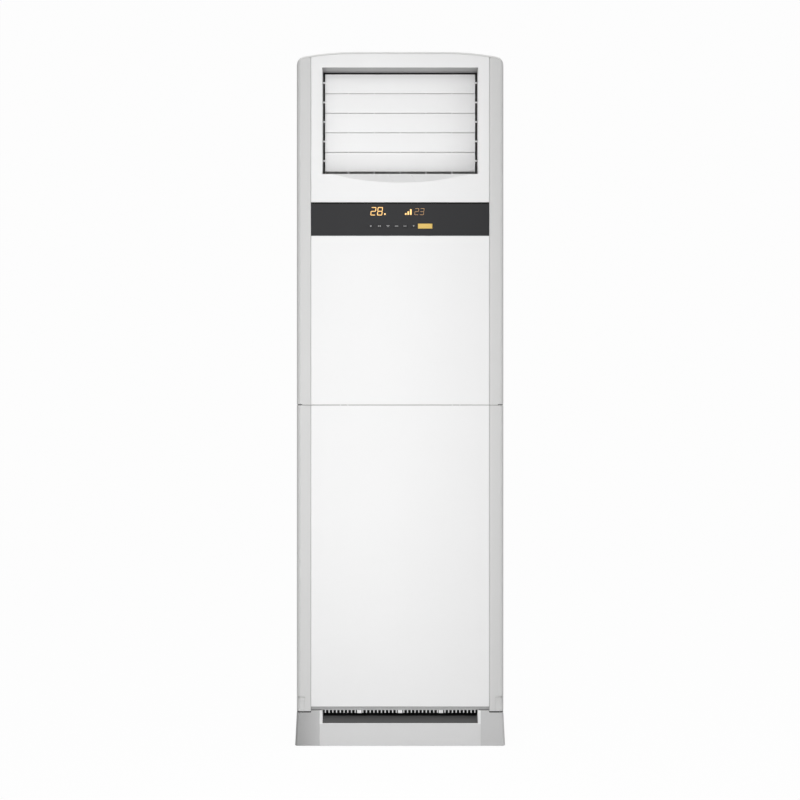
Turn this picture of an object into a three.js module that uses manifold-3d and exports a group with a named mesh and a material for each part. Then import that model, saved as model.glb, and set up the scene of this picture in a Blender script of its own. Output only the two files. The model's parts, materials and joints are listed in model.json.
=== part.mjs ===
// Floor standing air conditioner: a tall cabinet with an outlet at the top, a fan below and a door.
// Millimetres, +Z up, the front faces -Y. The origin is on the floor, in the middle of the cabinet.
import * as THREE from 'three';
import { mergeVertices } from 'three/addons/utils/BufferGeometryUtils.js';
import Module from 'manifold-3d';

const wasm = await Module();
wasm.setup();

// ---------------------------------------------------------------------------------------------
// Driving dimensions
// ---------------------------------------------------------------------------------------------

// Cabinet
const HEIGHT = 1850;
const BODY_WIDTH = 552;
const BODY_DEPTH = 350;
const PILLAR_WIDTH = 38.5;        // from the cabinet's side to the front panel's edge
const FRONT_PANEL_WIDTH = BODY_WIDTH - 2 * PILLAR_WIDTH;
const CORNER_RADIUS = 12;         // plan radius where the front turns into the sides
const BACK_CORNER_RADIUS = 3;
const CROWN_FLAT = 240;           // level middle stretch of the top edge
const CROWN_DROP = 9;             // fall of the top edge where the front panel ends
const TOP_CORNER = 20;            // rounding of the cabinet's upper side edges
const COVER_EDGE = 4;             // height of the top cover's rim
const COVER_RIM = 14;             // how far the rim reaches in
const PLASTIC = 2.5;              // wall of a moulding
const SHEET = 1.5;                // wall of a folded sheet part
const GAP = 0.3;                  // clearance between seated pieces
const GROOVE = 0.6;               // line between a front panel and the pillar beside it
const RETURN = 12;                // depth of a front panel's turned edge
const TRAY_RIBS = 3;
const RIB_DEPTH = 8;
const RIB_WALL = 2;
const PILLAR_DEPTH = 35;          // how far a pillar wraps round the side
const FLANGE = 10;                // turned flange of pillars and side panels

// Heights on the front
const PLINTH_HEIGHT = 89;
const PILLAR_FOOT = 3.5;          // open line between the door's pillars and the plinth
const DOOR_PANEL_FOOT = 105;      // lower edge of the door's white panel
const SEAM_HEIGHT = 909.6;        // middle of the joint between the door and the panel above it
const SEAM = 2.6;
const STRIP_DROP = 400.5;         // from the top of the cabinet to the control strip
const STRIP_HEIGHT = 89;
const STRIP_BOTTOM = HEIGHT - STRIP_DROP - STRIP_HEIGHT;
const STRIP_SETBACK = 1.5;        // the dark strip lies this far behind the white panels

// Outlet
const OPENING_MARGIN = 29.5;      // from the front panel's edge to the opening
const OPENING_WIDTH = FRONT_PANEL_WIDTH - 2 * OPENING_MARGIN;
const OPENING_DROP = 41;          // from the top of the cabinet to the soffit
const OPENING_HEIGHT = 284;
const OPENING_BOTTOM = HEIGHT - OPENING_DROP - OPENING_HEIGHT;
const RECESS_DEPTH = 50;          // depth of the white surround's inner walls
const SCOOP_MARGIN = 24;          // from the opening's side to the end of the scoop
const SCOOP_DROP = 23;
const SCOOP_ANGLE = 48;           // slope of the scooped sill
const FRAME_DEPTH = 116;
const FRAME_WALL = 3;
const DUCT_SKIRT = 29;            // how far the duct reaches below the opening

// Horizontal vanes
const VANE_COUNT = 5;
const VANE_TOP_GAP = 4.5;         // between the top vane and the soffit
const VANE_FOOT_GAP = 15;         // between the lowest vane and the sill
const VANE_PITCH = (OPENING_HEIGHT - VANE_TOP_GAP - VANE_FOOT_GAP) / VANE_COUNT;
const VANE_CHORD = VANE_PITCH - 1.5;
const VANE_END_GAP = 5;           // between a vane's end and the opening's side
const VANE_LENGTH = OPENING_WIDTH - 2 * VANE_END_GAP;
const VANE_THICKNESS = 2.8;
const VANE_SETBACK = 72;          // pivot line behind the front face
const PIVOT_RISE = 3;             // pivot above the middle of the chord
const PIN_RADIUS = 2.5;
const CRANK_RADIUS = 14;
const LEVER_WALL = 3;
const LINK_WIDTH = 9;

// Vertical deflectors
const DEFLECTOR_COUNT = 5;
const DEFLECTOR_PITCH = (OPENING_WIDTH + 10) / (DEFLECTOR_COUNT + 1);
const DEFLECTOR_CHORD = 60;
const DEFLECTOR_THICKNESS = 2.6;
const DEFLECTOR_SETBACK = 132;    // pivot line behind the front face
const DEFLECTOR_NOTCH = 16;       // slot at the rear edge that the link runs through
const DEFLECTOR_NOTCH_HEIGHT = 9;
const SWIVEL_MOTOR_RADIUS = 14;
const SWIVEL_MOTOR_LENGTH = 16;

// Control strip
const SMALL_KEYS = 6;
const SMALL_KEY_PITCH = 22.8;
const SMALL_KEY_FIRST = -78;      // middle of the first small key
const SMALL_KEY_WIDTH = 12;
const SMALL_KEY_HEIGHT = 7;
const KEY_RISE = 25.8;            // from the strip's lower edge to the row of keys
const KEY_LINE = STRIP_BOTTOM + KEY_RISE;
const POWER_KEY_X = 66.8;
const POWER_KEY_WIDTH = 38;
const POWER_KEY_HEIGHT = 13;
const KEY_TRAVEL = 0.8;
const KEY_FLANGE = 1.2;
const KEY_ROOM = 6;               // between the strip and the display board
const BOARD_WIDTH = 220;
const BOARD_HEIGHT = 72;
const BOARD_THICKNESS = 1.6;

// Door
const HINGE_SETBACK = 9;          // hinge line behind the front face
const HINGE_PIN_RADIUS = 3;
const HOOK_WALL = 2.7;
const HOOK_WIDTH = 16;
const HOOK_SPACING = 300;
const RAIL_DEPTH = 6;
const TOP_RAIL_HEIGHT = 16;
const BOTTOM_RAIL_HEIGHT = 9.2;
const BOTTOM_RAIL_SETBACK = 6;
const CATCH_WIDTH = 17;
const CATCH_HEIGHT = 36;
const CATCH_TRAVEL = 4;
const CATCH_EDGE = 4.4;           // from the cabinet's side to the catch
const COMB_TOOTH = 3;
const COMB_PITCH = 10;
const COMB_LENGTH = 9.5;
const COMB_TAB = 12;
const COMB_TAB_SPACING = 109;
const COMB_SETBACK = 14;

// Plinth and base
const PLINTH_FLARE = 4.5;         // how far each side spreads towards the floor
const PLINTH_WALL = 3;
const PLATE_MARGIN = 22.5;        // from the front panel's edge to the raised middle plate
const PLATE_RISE = 1.2;           // how far the middle plate stands before the cheeks
const JAMB = 8;                   // from the plate's side to the intake slot
const SLOT_WIDTH = FRONT_PANEL_WIDTH - 2 * (PLATE_MARGIN + JAMB);
const SLOT_SILL = 60.5;           // top edge of the plinth's front plate under the slot
const RAMP_RUN = 42;
const RAMP_RISE = 18;
const BASE_RIM = 40;
const SIDE_SLOTS = 11;
const SIDE_SLOT_PITCH = 26;
const SIDE_SLOT_HEIGHT = 8;
const SIDE_SLOT_LENGTH = 34;
const SIDE_SLOT_FIRST = 260;
const SIDE_SLOT_SETBACK = 50;     // from the front face to the slots
const PIPE_KNOCKOUT = { x: 170, z: 170, radius: 38 };
const CABLE_KNOCKOUT = { x: -180, z: 140, radius: 17 };

// Fan
const FAN_X = 10;
const FAN_Z = 470;
const FAN_RADIUS = 160;
const FAN_WIDTH = 125;
const BLADE_COUNT = 28;
const BLADE_DEPTH = 22;
const SCROLL_START = 182;         // radius at the tongue
const SCROLL_GROWTH = 58;         // added by the end of the turn
const SCROLL_DEPTH = 165;
const THROAT_RADIUS = 130;
const BULKHEAD_SETBACK = 113;     // bulkhead's front face behind the front
const MOTOR_RADIUS = 65;
const MOTOR_LENGTH = 55;
const SHAFT_RADIUS = 6;
const HUB_LENGTH = 42;

// Filter
const FILTER_MARGIN = 36;         // from the cabinet's side to the filter
const FILTER_WIDTH = BODY_WIDTH - 2 * FILTER_MARGIN;
const FILTER_THICKNESS = 8;
const FILTER_FOOT = 135;
const FILTER_LIFT = 25;
const GUIDE_DROP = 60;            // how far the filter's guides end below its top
const FILTER_ROOM = 22;           // left under the deck when the filter is lifted

// Upper chamber
const DECK_RISE = 2.4;            // deck's underside above the middle of the front joint
const DECK_HEIGHT = SEAM_HEIGHT + DECK_RISE;
const WALL_SETBACK = 80;          // chamber wall behind the front face
const COIL_MARGIN = 41;           // from the cabinet's side to the fins
const COIL_WIDTH = BODY_WIDTH - 2 * COIL_MARGIN;
const COIL_THICKNESS = 44;
const COIL_LEAN = 20;
const COIL_ROOM = 16;             // above the drain pan's rim and under the duct
const COIL_SETBACK = 6;           // from the drain pan's front wall to the fins
const FIN_COUNT = 26;
const BEND_COUNT = 7;
const TUBE_RADIUS = 4.8;
const PAN_DEPTH = 56;
const PAN_HEIGHT = 46;
const PIPE_Y = 120;
const PIPE_SPACING = 26;
const PIPE_END = 150;             // height of the pipes' lower ends
const PIPE_BEND = 18;
const NUT_LENGTH = 24;
const BOX_WIDTH = 300;            // electrical box
const BOX_DEPTH = 56;
const BOX_RISE = 96;              // above the deck
const BOX_LID = 4;                // how far the lid stands over the box all round
const BOX_GLAND = 8;
const RAIL_WEB = 18;              // cross rail's upright flange
const ARM_HALF = 4;               // half the height of the arms that hold the hinge pins
const ARM_LEG = 8;

const finish = (color, roughness, metalness = 0) =>
  new THREE.MeshStandardMaterial({ color, roughness, metalness });
const white = finish(0xf0f0f0, 0.45);
const paleGrey = finish(0xd3d3d2, 0.5);
const plinthGrey = finish(0xbdbdbd, 0.55);
const darkStrip = finish(0x3c3c3d, 0.3);
const black = finish(0x1c1c1c, 0.6);
const steel = finish(0xb4b6b8, 0.4, 0.9);
const paintedSheet = finish(0xdcdcda, 0.5);
const copper = finish(0xb87348, 0.35, 1);
const aluminium = finish(0xc8ccd0, 0.35, 0.9);
const foam = finish(0xe8e8e6, 0.9);
const board = finish(0x2f5d3a, 0.6);
const amber = finish(0xf2c94c, 0.4);

const object = new THREE.Group();

// ---------------------------------------------------------------------------------------------
// Solids
// ---------------------------------------------------------------------------------------------

const asSolid = (geometry) => {
  const bare = geometry.index ? geometry.toNonIndexed() : geometry;
  bare.deleteAttribute('normal');
  bare.deleteAttribute('uv');
  const merged = mergeVertices(bare, 1e-4);
  return new wasm.Manifold(new wasm.Mesh({
    numProp: 3,
    vertProperties: new Float32Array(merged.attributes.position.array),
    triVerts: new Uint32Array(merged.index.array),
  }));
};

const asGeometry = (solid) => {
  const mesh = solid.getMesh();
  const geometry = new THREE.BufferGeometry();
  geometry.setAttribute('position', new THREE.BufferAttribute(mesh.vertProperties, 3));
  geometry.setIndex(new THREE.BufferAttribute(mesh.triVerts, 1));
  geometry.computeVertexNormals();
  return geometry;
};

// Adds a solid to the object as a named mesh, at a place and turned about X.
const place = (name, solid, material, x = 0, y = 0, z = 0, turnX = 0) => {
  const mesh = new THREE.Mesh(asGeometry(solid), material);
  mesh.name = name;
  mesh.position.set(x, y, z);
  mesh.rotation.x = turnX;
  object.add(mesh);
  return mesh;
};

const box = (x0, x1, y0, y1, z0, z1) => {
  const geometry = new THREE.BoxGeometry(x1 - x0, y1 - y0, z1 - z0);
  geometry.translate((x0 + x1) / 2, (y0 + y1) / 2, (z0 + z1) / 2);
  return asSolid(geometry);
};

// A bar of a given width that is centred on X.
const slab = (width, y0, y1, z0, z1) => box(-width / 2, width / 2, y0, y1, z0, z1);

// A flat shape pushed along an axis: on z it is drawn in (x, y), on x in (y, z), on y in (x, z).
const AXES = {
  x: new THREE.Matrix4().makeBasis(
    new THREE.Vector3(0, 1, 0), new THREE.Vector3(0, 0, 1), new THREE.Vector3(1, 0, 0)),
  y: new THREE.Matrix4().makeBasis(
    new THREE.Vector3(1, 0, 0), new THREE.Vector3(0, 0, 1), new THREE.Vector3(0, -1, 0)),
  z: new THREE.Matrix4(),
};

const prism = (shape, axis, from, to, curveSegments = 6) => {
  const depth = to - from;
  const geometry = new THREE.ExtrudeGeometry(shape, { depth, bevelEnabled: false, curveSegments });
  geometry.applyMatrix4(AXES[axis]);
  const start = axis === 'y' ? to : from;
  geometry.translate(axis === 'x' ? start : 0, axis === 'y' ? start : 0, axis === 'z' ? start : 0);
  return asSolid(geometry);
};

const polygon = (...points) => new THREE.Shape(points.map(([u, v]) => new THREE.Vector2(u, v)));

const disc = (u, v, radius) => new THREE.Shape().absarc(u, v, radius, 0, 2 * Math.PI);

const ring = (u, v, outer, inner) => {
  const shape = disc(u, v, outer);
  shape.holes.push(new THREE.Path().absarc(u, v, inner, 0, 2 * Math.PI, true));
  return shape;
};

const rod = (axis, u, v, radius, from, to, sides = 8) =>
  prism(disc(u, v, radius), axis, from, to, sides / 2);

const join = (...solids) => solids.reduce((whole, next) => whole.add(next));
const cut = (solid, ...tools) => tools.reduce((whole, next) => whole.subtract(next), solid);

const mirrorX = (solid) => {
  const geometry = asGeometry(solid);
  geometry.scale(-1, 1, 1);
  const order = geometry.index.array;
  for (let i = 0; i < order.length; i += 3) {
    [order[i], order[i + 1]] = [order[i + 1], order[i]];
  }
  return asSolid(geometry);
};

const repeat = (count, make) => Array.from({ length: count }, (_, i) => make(i));
const degrees = (angle) => THREE.MathUtils.degToRad(angle);

// ---------------------------------------------------------------------------------------------
// Places that several pieces share
// ---------------------------------------------------------------------------------------------

const FRONT = -BODY_DEPTH / 2;
const BACK = BODY_DEPTH / 2;
const SIDE = BODY_WIDTH / 2;
const PANEL_EDGE = FRONT_PANEL_WIDTH / 2;
const PILLAR_EDGE = PANEL_EDGE + GROOVE;
const PILLAR_BACK = FRONT + PILLAR_DEPTH;
const SIDE_FRONT = PILLAR_BACK + GAP;
const SIDE_INNER = SIDE - SHEET;
const CASE_FOOT = PLINTH_HEIGHT + GAP;
const PILLAR_BOTTOM = PLINTH_HEIGHT + PILLAR_FOOT;
const DOOR_TOP = SEAM_HEIGHT - SEAM / 2;
const UPPER_BOTTOM = SEAM_HEIGHT + SEAM / 2;
const STRIP_TOP = STRIP_BOTTOM + STRIP_HEIGHT;
const UPPER_TOP = STRIP_BOTTOM - GAP;
const SURROUND_BOTTOM = STRIP_TOP + GAP;
const OPENING_EDGE = OPENING_WIDTH / 2;
const SCOOP_HALF_WIDTH = OPENING_EDGE - SCOOP_MARGIN;
const SOFFIT = OPENING_BOTTOM + OPENING_HEIGHT;
const DECK_TOP = DECK_HEIGHT + SHEET;
const FILTER_HEIGHT = DECK_HEIGHT - FILTER_ROOM - FILTER_LIFT - FILTER_FOOT;

// The crowned top edge in the front view.
const crownReach = PANEL_EDGE - CROWN_FLAT / 2;
const crownRadius = (crownReach ** 2 + CROWN_DROP ** 2) / (2 * CROWN_DROP);
const crownHeight = (x) => {
  const out = Math.max(0, Math.abs(x) - CROWN_FLAT / 2);
  return HEIGHT - (crownRadius - Math.sqrt(crownRadius ** 2 - out ** 2));
};

// The cabinet's outline in the front view, lowered by drop and taken in at the sides by inset.
const frontOutline = (drop, inset = 0) => {
  const side = SIDE - inset;
  const shoulder = side - TOP_CORNER;
  const steps = 5;
  const crown = repeat(steps, (i) => {
    const x = shoulder + ((CROWN_FLAT / 2 - shoulder) * i) / (steps - 1);
    return [x, crownHeight(x) - drop];
  });
  const corner = crownHeight(side) - drop;
  const shape = new THREE.Shape();
  shape.moveTo(-side, 0);
  shape.lineTo(side, 0);
  shape.lineTo(side, corner - TOP_CORNER);
  shape.quadraticCurveTo(side, corner, ...crown[0]);
  crown.slice(1).forEach(([x, z]) => shape.lineTo(x, z));
  [...crown].reverse().forEach(([x, z]) => shape.lineTo(-x, z));
  shape.quadraticCurveTo(-side, corner, -side, corner - TOP_CORNER);
  return shape;
};

// The cabinet's outline in plan, taken in all round by inset.
const planOutline = (inset, side = SIDE) => {
  const x = side - inset;
  const front = FRONT + inset;
  const back = BACK - inset;
  const r = Math.max(CORNER_RADIUS - inset, 1);
  const b = Math.max(BACK_CORNER_RADIUS - inset, 0.5);
  const shape = new THREE.Shape();
  shape.moveTo(-x + r, front);
  shape.lineTo(x - r, front);
  shape.absarc(x - r, front + r, r, -Math.PI / 2, 0);
  shape.lineTo(x, back - b);
  shape.absarc(x - b, back - b, b, 0, Math.PI / 2);
  shape.lineTo(-x + b, back);
  shape.absarc(-x + b, back - b, b, Math.PI / 2, Math.PI);
  shape.lineTo(-x, front + r);
  shape.absarc(-x + r, front + r, r, Math.PI, 1.5 * Math.PI);
  return shape;
};

const beyond = 40;                // how far cutting tools run past what they cut
const under = (drop) => prism(frontOutline(drop), 'y', FRONT - beyond, BACK + beyond, 4);
const belowCover = under(COVER_EDGE + GAP);
const casing = (inset, from, to) => prism(planOutline(inset), 'z', from, to, 4);

// ---------------------------------------------------------------------------------------------
// Casing
// ---------------------------------------------------------------------------------------------

const makeTopCover = () => {
  const lid = casing(0, HEIGHT / 2, HEIGHT).intersect(under(0));
  const hollow = casing(COVER_RIM, 0, HEIGHT).intersect(under(SHEET));
  place('top_cover', cut(lid, under(COVER_EDGE), hollow), paintedSheet);
};

// A front panel: a tray with its edges turned back and a few stiffening ribs inside.
const tray = (from, to) => {
  const skin = slab(FRONT_PANEL_WIDTH, FRONT, FRONT + RETURN, from, to);
  const hollow = slab(FRONT_PANEL_WIDTH - 2 * PLASTIC, FRONT + PLASTIC, FRONT + beyond,
    from + PLASTIC, to - PLASTIC);
  const ribs = repeat(TRAY_RIBS, (i) => {
    const z = from + ((to - from) * (i + 1)) / (TRAY_RIBS + 1);
    return slab(FRONT_PANEL_WIDTH - PLASTIC, FRONT + 1, FRONT + RIB_DEPTH, z, z + RIB_WALL);
  });
  return join(cut(skin, hollow), ...ribs);
};

// The right-hand pillar: a grey moulding round the front corner, with turned edges.
const pillar = (from, to) => {
  const outside = casing(0, from, to);
  const wall = cut(outside, casing(PLASTIC, from - beyond, to + beyond))
    .intersect(box(PILLAR_EDGE, SIDE, FRONT, PILLAR_BACK, from, to));
  const inner = box(PILLAR_EDGE, PILLAR_EDGE + PLASTIC, FRONT + 1, FRONT + RETURN, from, to);
  const rear = box(SIDE - FLANGE, SIDE - 1, PILLAR_BACK - PLASTIC, PILLAR_BACK, from, to);
  return join(wall, inner, rear);
};

const makeUpperFront = () => {
  place('upper_front_panel', tray(UPPER_BOTTOM, UPPER_TOP), white);
  const right = pillar(UPPER_BOTTOM, HEIGHT).intersect(belowCover);
  place('upper_right_pillar', right, paleGrey);
  place('upper_left_pillar', mirrorX(right), paleGrey);
};

// The scooped sill is part of a large cylinder that slopes down to the front.
const scoop = () => {
  const slope = degrees(SCOOP_ANGLE);
  const rise = SCOOP_DROP * Math.cos(slope);
  const radius = (SCOOP_HALF_WIDTH ** 2 + rise ** 2) / (2 * rise);
  const length = 2 * beyond + SCOOP_DROP;
  const arc = (r, steps = 14) => repeat(steps + 1, (i) => {
    const x = OPENING_EDGE * ((2 * i) / steps - 1);
    return [x, radius - Math.sqrt(r ** 2 - x ** 2)];
  });
  const lay = (shape) => {
    const geometry = new THREE.ExtrudeGeometry(shape, { depth: length, bevelEnabled: false });
    geometry.translate(0, 0, -length / 2);
    geometry.rotateX(Math.PI / 2 + slope);
    geometry.translate(0, FRONT, OPENING_BOTTOM - SCOOP_DROP);
    return asSolid(geometry);
  };
  const floor = arc(radius);
  const skin = arc(radius + PLASTIC).reverse();
  return {
    air: lay(polygon(...floor, [OPENING_EDGE, beyond], [-OPENING_EDGE, beyond])),
    shell: lay(polygon(...floor, ...skin)),
  };
};

const makeOutletSurround = () => {
  const inner = FRONT + RECESS_DEPTH;
  const face = slab(FRONT_PANEL_WIDTH, FRONT, FRONT + RETURN, SURROUND_BOTTOM, HEIGHT)
    .intersect(belowCover);
  const hollow = slab(FRONT_PANEL_WIDTH - 2 * PLASTIC, FRONT + PLASTIC, FRONT + beyond,
    SURROUND_BOTTOM + PLASTIC, HEIGHT).intersect(under(COVER_EDGE + GAP + PLASTIC));
  const walls = slab(OPENING_WIDTH + 2 * PLASTIC, FRONT, inner, OPENING_BOTTOM - PLASTIC,
    SOFFIT + PLASTIC);
  const opening = slab(OPENING_WIDTH, FRONT - beyond, inner + beyond, OPENING_BOTTOM, SOFFIT);
  const { air, shell } = scoop();
  const sill = shell.intersect(slab(OPENING_WIDTH + PLASTIC, FRONT, FRONT + beyond,
    OPENING_BOTTOM - 2 * SCOOP_DROP, OPENING_BOTTOM));
  const surround = cut(join(cut(face, hollow), walls, sill), opening, air);
  place('outlet_surround', surround, white);
};

// ---------------------------------------------------------------------------------------------
// Control strip and keys
// ---------------------------------------------------------------------------------------------

const STRIP_FRONT = FRONT + STRIP_SETBACK;
const STRIP_BACK = STRIP_FRONT + PLASTIC;
const BOARD_FRONT = STRIP_BACK + KEY_ROOM;
const KEYS = [
  ...repeat(SMALL_KEYS, (i) => ({
    name: `key_${i + 1}`,
    x: SMALL_KEY_FIRST + i * SMALL_KEY_PITCH,
    width: SMALL_KEY_WIDTH,
    height: SMALL_KEY_HEIGHT,
    material: darkStrip,
  })),
  { name: 'power_key', x: POWER_KEY_X, width: POWER_KEY_WIDTH, height: POWER_KEY_HEIGHT, material: amber },
];

// A block behind or in a key's hole, larger than the key by margin all round.
const keyBlock = ({ x, width, height }, margin, from, to) => box(
  x - width / 2 - margin, x + width / 2 + margin, from, to,
  KEY_LINE - height / 2 - margin, KEY_LINE + height / 2 + margin,
);

const makeControlStrip = () => {
  const lens = slab(FRONT_PANEL_WIDTH, STRIP_FRONT, STRIP_BACK, STRIP_BOTTOM, STRIP_TOP);
  const holes = KEYS.map((key) => keyBlock(key, GAP, STRIP_FRONT - 1, STRIP_BACK + 1));
  place('control_strip', cut(lens, ...holes), darkStrip);

  const stemRadius = 2;
  KEYS.forEach((key) => {
    const back = STRIP_BACK + GAP + KEY_FLANGE;
    const cap = keyBlock(key, 0, STRIP_FRONT - GAP, back);
    const flange = keyBlock(key, KEY_FLANGE, STRIP_BACK + GAP, back);
    const stem = rod('y', key.x, KEY_LINE, stemRadius, back - KEY_FLANGE / 2,
      BOARD_FRONT - KEY_TRAVEL - GAP);
    place(key.name, join(cap, flange, stem), key.material);
  });

  const middle = (STRIP_BOTTOM + STRIP_TOP) / 2;
  const postRadius = 3;
  const plate = slab(BOARD_WIDTH, BOARD_FRONT, BOARD_FRONT + BOARD_THICKNESS,
    middle - BOARD_HEIGHT / 2, middle + BOARD_HEIGHT / 2);
  const posts = [-1, 1].flatMap((x) => [-1, 1].map((z) => rod(
    'y', x * (BOARD_WIDTH / 2 - 2 * postRadius), middle + z * (BOARD_HEIGHT / 2 - 2 * postRadius),
    postRadius, STRIP_BACK + GAP, BOARD_FRONT + BOARD_THICKNESS / 2)));
  place('display_board', join(plate, ...posts), board);
};

// ---------------------------------------------------------------------------------------------
// Outlet: frame, vanes, deflectors, links and their motors
// ---------------------------------------------------------------------------------------------

const FRAME_FRONT = FRONT + RECESS_DEPTH + GAP;
const FRAME_BACK = FRAME_FRONT + FRAME_DEPTH;
const FRAME_EDGE = OPENING_EDGE + FRAME_WALL;
const VANE_Y = FRONT + VANE_SETBACK;
const vaneHeight = (i) => SOFFIT - VANE_TOP_GAP - VANE_CHORD / 2 + PIVOT_RISE - i * VANE_PITCH;
const MIDDLE_VANE = (VANE_COUNT - 1) / 2;
const DEFLECTOR_Y = FRONT + DEFLECTOR_SETBACK;
const deflectorX = (i) => (i - (DEFLECTOR_COUNT - 1) / 2) * DEFLECTOR_PITCH;
const LINK_PIN_RADIUS = 1.8;
const LINK_PIN_INSET = 6;         // deflector's link pin in from its rear edge
const DEFLECTOR_LINK_Y = DEFLECTOR_Y + DEFLECTOR_CHORD / 2 - LINK_PIN_INSET;
const DEFLECTOR_LINK_Z = OPENING_BOTTOM + OPENING_HEIGHT / 2;
const LEVER_GAP = 0.8;            // between the frame's side and the vane levers
const DUCT_FOOT = OPENING_BOTTOM - DUCT_SKIRT;

const makeLouvreFrame = () => {
  const outer = slab(2 * FRAME_EDGE, FRAME_FRONT, FRAME_BACK, OPENING_BOTTOM - FRAME_WALL,
    SOFFIT + FRAME_WALL);
  const inner = slab(OPENING_WIDTH, FRAME_FRONT - 1, FRAME_BACK + 1, OPENING_BOTTOM, SOFFIT);
  const bore = PIN_RADIUS + GAP;
  const vaneBores = repeat(VANE_COUNT, (i) =>
    rod('x', VANE_Y, vaneHeight(i), bore, -FRAME_EDGE - 1, FRAME_EDGE + 1));
  const deflectorBores = repeat(DEFLECTOR_COUNT, (i) => rod('z', deflectorX(i), DEFLECTOR_Y, bore,
    OPENING_BOTTOM - FRAME_WALL - 1, SOFFIT + FRAME_WALL + 1));
  place('louvre_frame', cut(outer, inner, ...vaneBores, ...deflectorBores), black);
};

// A vane is drawn about its pivot line: a slim blade, a pin at each end and a lever on the left.
const makeVane = (i) => {
  const middle = -PIVOT_RISE;
  const edge = 0.6;
  const steps = 6;
  const side = (sign) => repeat(steps + 1, (k) => {
    const t = (2 * k) / steps - 1;
    const half = edge + (VANE_THICKNESS / 2 - edge) * (1 - t * t);
    return [sign * half, middle + (t * VANE_CHORD) / 2];
  });
  const blade = prism(polygon(...side(1), ...side(-1).reverse()), 'x', -VANE_LENGTH / 2, VANE_LENGTH / 2);
  const seat = 6;
  const leverStart = -FRAME_EDGE - LEVER_GAP;
  const leverEnd = leverStart - LEVER_WALL;
  const left = rod('x', 0, 0, PIN_RADIUS, leverEnd, -VANE_LENGTH / 2 + seat);
  const right = rod('x', 0, 0, PIN_RADIUS, VANE_LENGTH / 2 - seat, FRAME_EDGE);
  const arm = polygon([-4, -4], [CRANK_RADIUS, -3.5], [CRANK_RADIUS + 3.5, 0], [CRANK_RADIUS, 3.5], [-4, 4]);
  const lever = prism(arm, 'x', leverEnd, leverStart);
  const crank = rod('x', CRANK_RADIUS, 0, LINK_PIN_RADIUS, leverEnd - LEVER_WALL - 2 * GAP, leverEnd + 1);
  place(`vane_${i + 1}`, join(blade, left, right, lever, crank), white, 0, VANE_Y, vaneHeight(i));
};

const makeVaneLink = () => {
  const outer = -FRAME_EDGE - LEVER_GAP - LEVER_WALL - GAP;
  const y = VANE_Y + CRANK_RADIUS;
  const half = LINK_WIDTH / 2;
  const bar = box(outer - LEVER_WALL, outer, y - half, y + half,
    vaneHeight(VANE_COUNT - 1) - half, vaneHeight(0) + half);
  const bores = repeat(VANE_COUNT, (i) => rod(
    'x', y, vaneHeight(i), LINK_PIN_RADIUS + GAP, outer - LEVER_WALL - 1, outer + 1));
  place('vane_link', cut(bar, ...bores), black);
};

// A small geared motor: a round can with two fixing ears.
const swivelMotor = (axis, u, v, from) => {
  const ear = 6;
  const half = 3.5;               // of an ear's width
  const wide = SWIVEL_MOTOR_RADIUS + ear;
  const can = rod(axis, u, v, SWIVEL_MOTOR_RADIUS, from, from + SWIVEL_MOTOR_LENGTH, 20);
  const low = v - half;
  const high = v + half;
  const ears = prism(polygon([u - wide, low], [u + wide, low], [u + wide, high], [u - wide, high]),
    axis, from, from + 2);
  return join(can, ears);
};

const makeSwivelMotors = () => {
  const vaneMotor = swivelMotor('x', VANE_Y, vaneHeight(MIDDLE_VANE), FRAME_EDGE + GAP);
  place('vane_motor', vaneMotor, steel);
  const deflectorMotor = swivelMotor('z', 0, DEFLECTOR_Y, SOFFIT + FRAME_WALL + GAP);
  place('deflector_motor', deflectorMotor, steel);
};

const makeDeflector = (i) => {
  const half = DEFLECTOR_CHORD / 2;
  const run = 3;                  // clear of the frame above and below
  const bottom = OPENING_BOTTOM + run;
  const top = SOFFIT - run;
  const taper = 8;
  const plate = prism(polygon(
    [-half, bottom + taper], [-half + taper, bottom], [half, bottom],
    [half, top], [-half + taper, top], [-half, top - taper],
  ), 'x', -DEFLECTOR_THICKNESS / 2, DEFLECTOR_THICKNESS / 2);
  const notch = box(-DEFLECTOR_THICKNESS, DEFLECTOR_THICKNESS, half - DEFLECTOR_NOTCH, half + 1,
    DEFLECTOR_LINK_Z - DEFLECTOR_NOTCH_HEIGHT / 2, DEFLECTOR_LINK_Z + DEFLECTOR_NOTCH_HEIGHT / 2);
  const lower = rod('z', 0, 0, PIN_RADIUS, OPENING_BOTTOM - FRAME_WALL, bottom + 2 * taper);
  const upper = rod('z', 0, 0, PIN_RADIUS, top - 2 * taper, SOFFIT + FRAME_WALL);
  const linkPin = rod('z', 0, half - LINK_PIN_INSET, LINK_PIN_RADIUS,
    DEFLECTOR_LINK_Z - DEFLECTOR_NOTCH_HEIGHT, DEFLECTOR_LINK_Z + DEFLECTOR_NOTCH_HEIGHT);
  place(`deflector_${i + 1}`, join(cut(plate, notch), lower, upper, linkPin), paleGrey,
    deflectorX(i), DEFLECTOR_Y);
};

const makeDeflectorLink = () => {
  const half = LINK_WIDTH / 2;
  const last = DEFLECTOR_COUNT - 1;
  const bar = box(deflectorX(0) - half, deflectorX(last) + half,
    DEFLECTOR_LINK_Y - half, DEFLECTOR_LINK_Y + half,
    DEFLECTOR_LINK_Z - LEVER_WALL / 2, DEFLECTOR_LINK_Z + LEVER_WALL / 2);
  const bores = repeat(DEFLECTOR_COUNT, (i) => rod(
    'z', deflectorX(i), DEFLECTOR_LINK_Y, LINK_PIN_RADIUS + GAP,
    DEFLECTOR_LINK_Z - LEVER_WALL, DEFLECTOR_LINK_Z + LEVER_WALL));
  place('deflector_link', cut(bar, ...bores), black);
};

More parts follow.
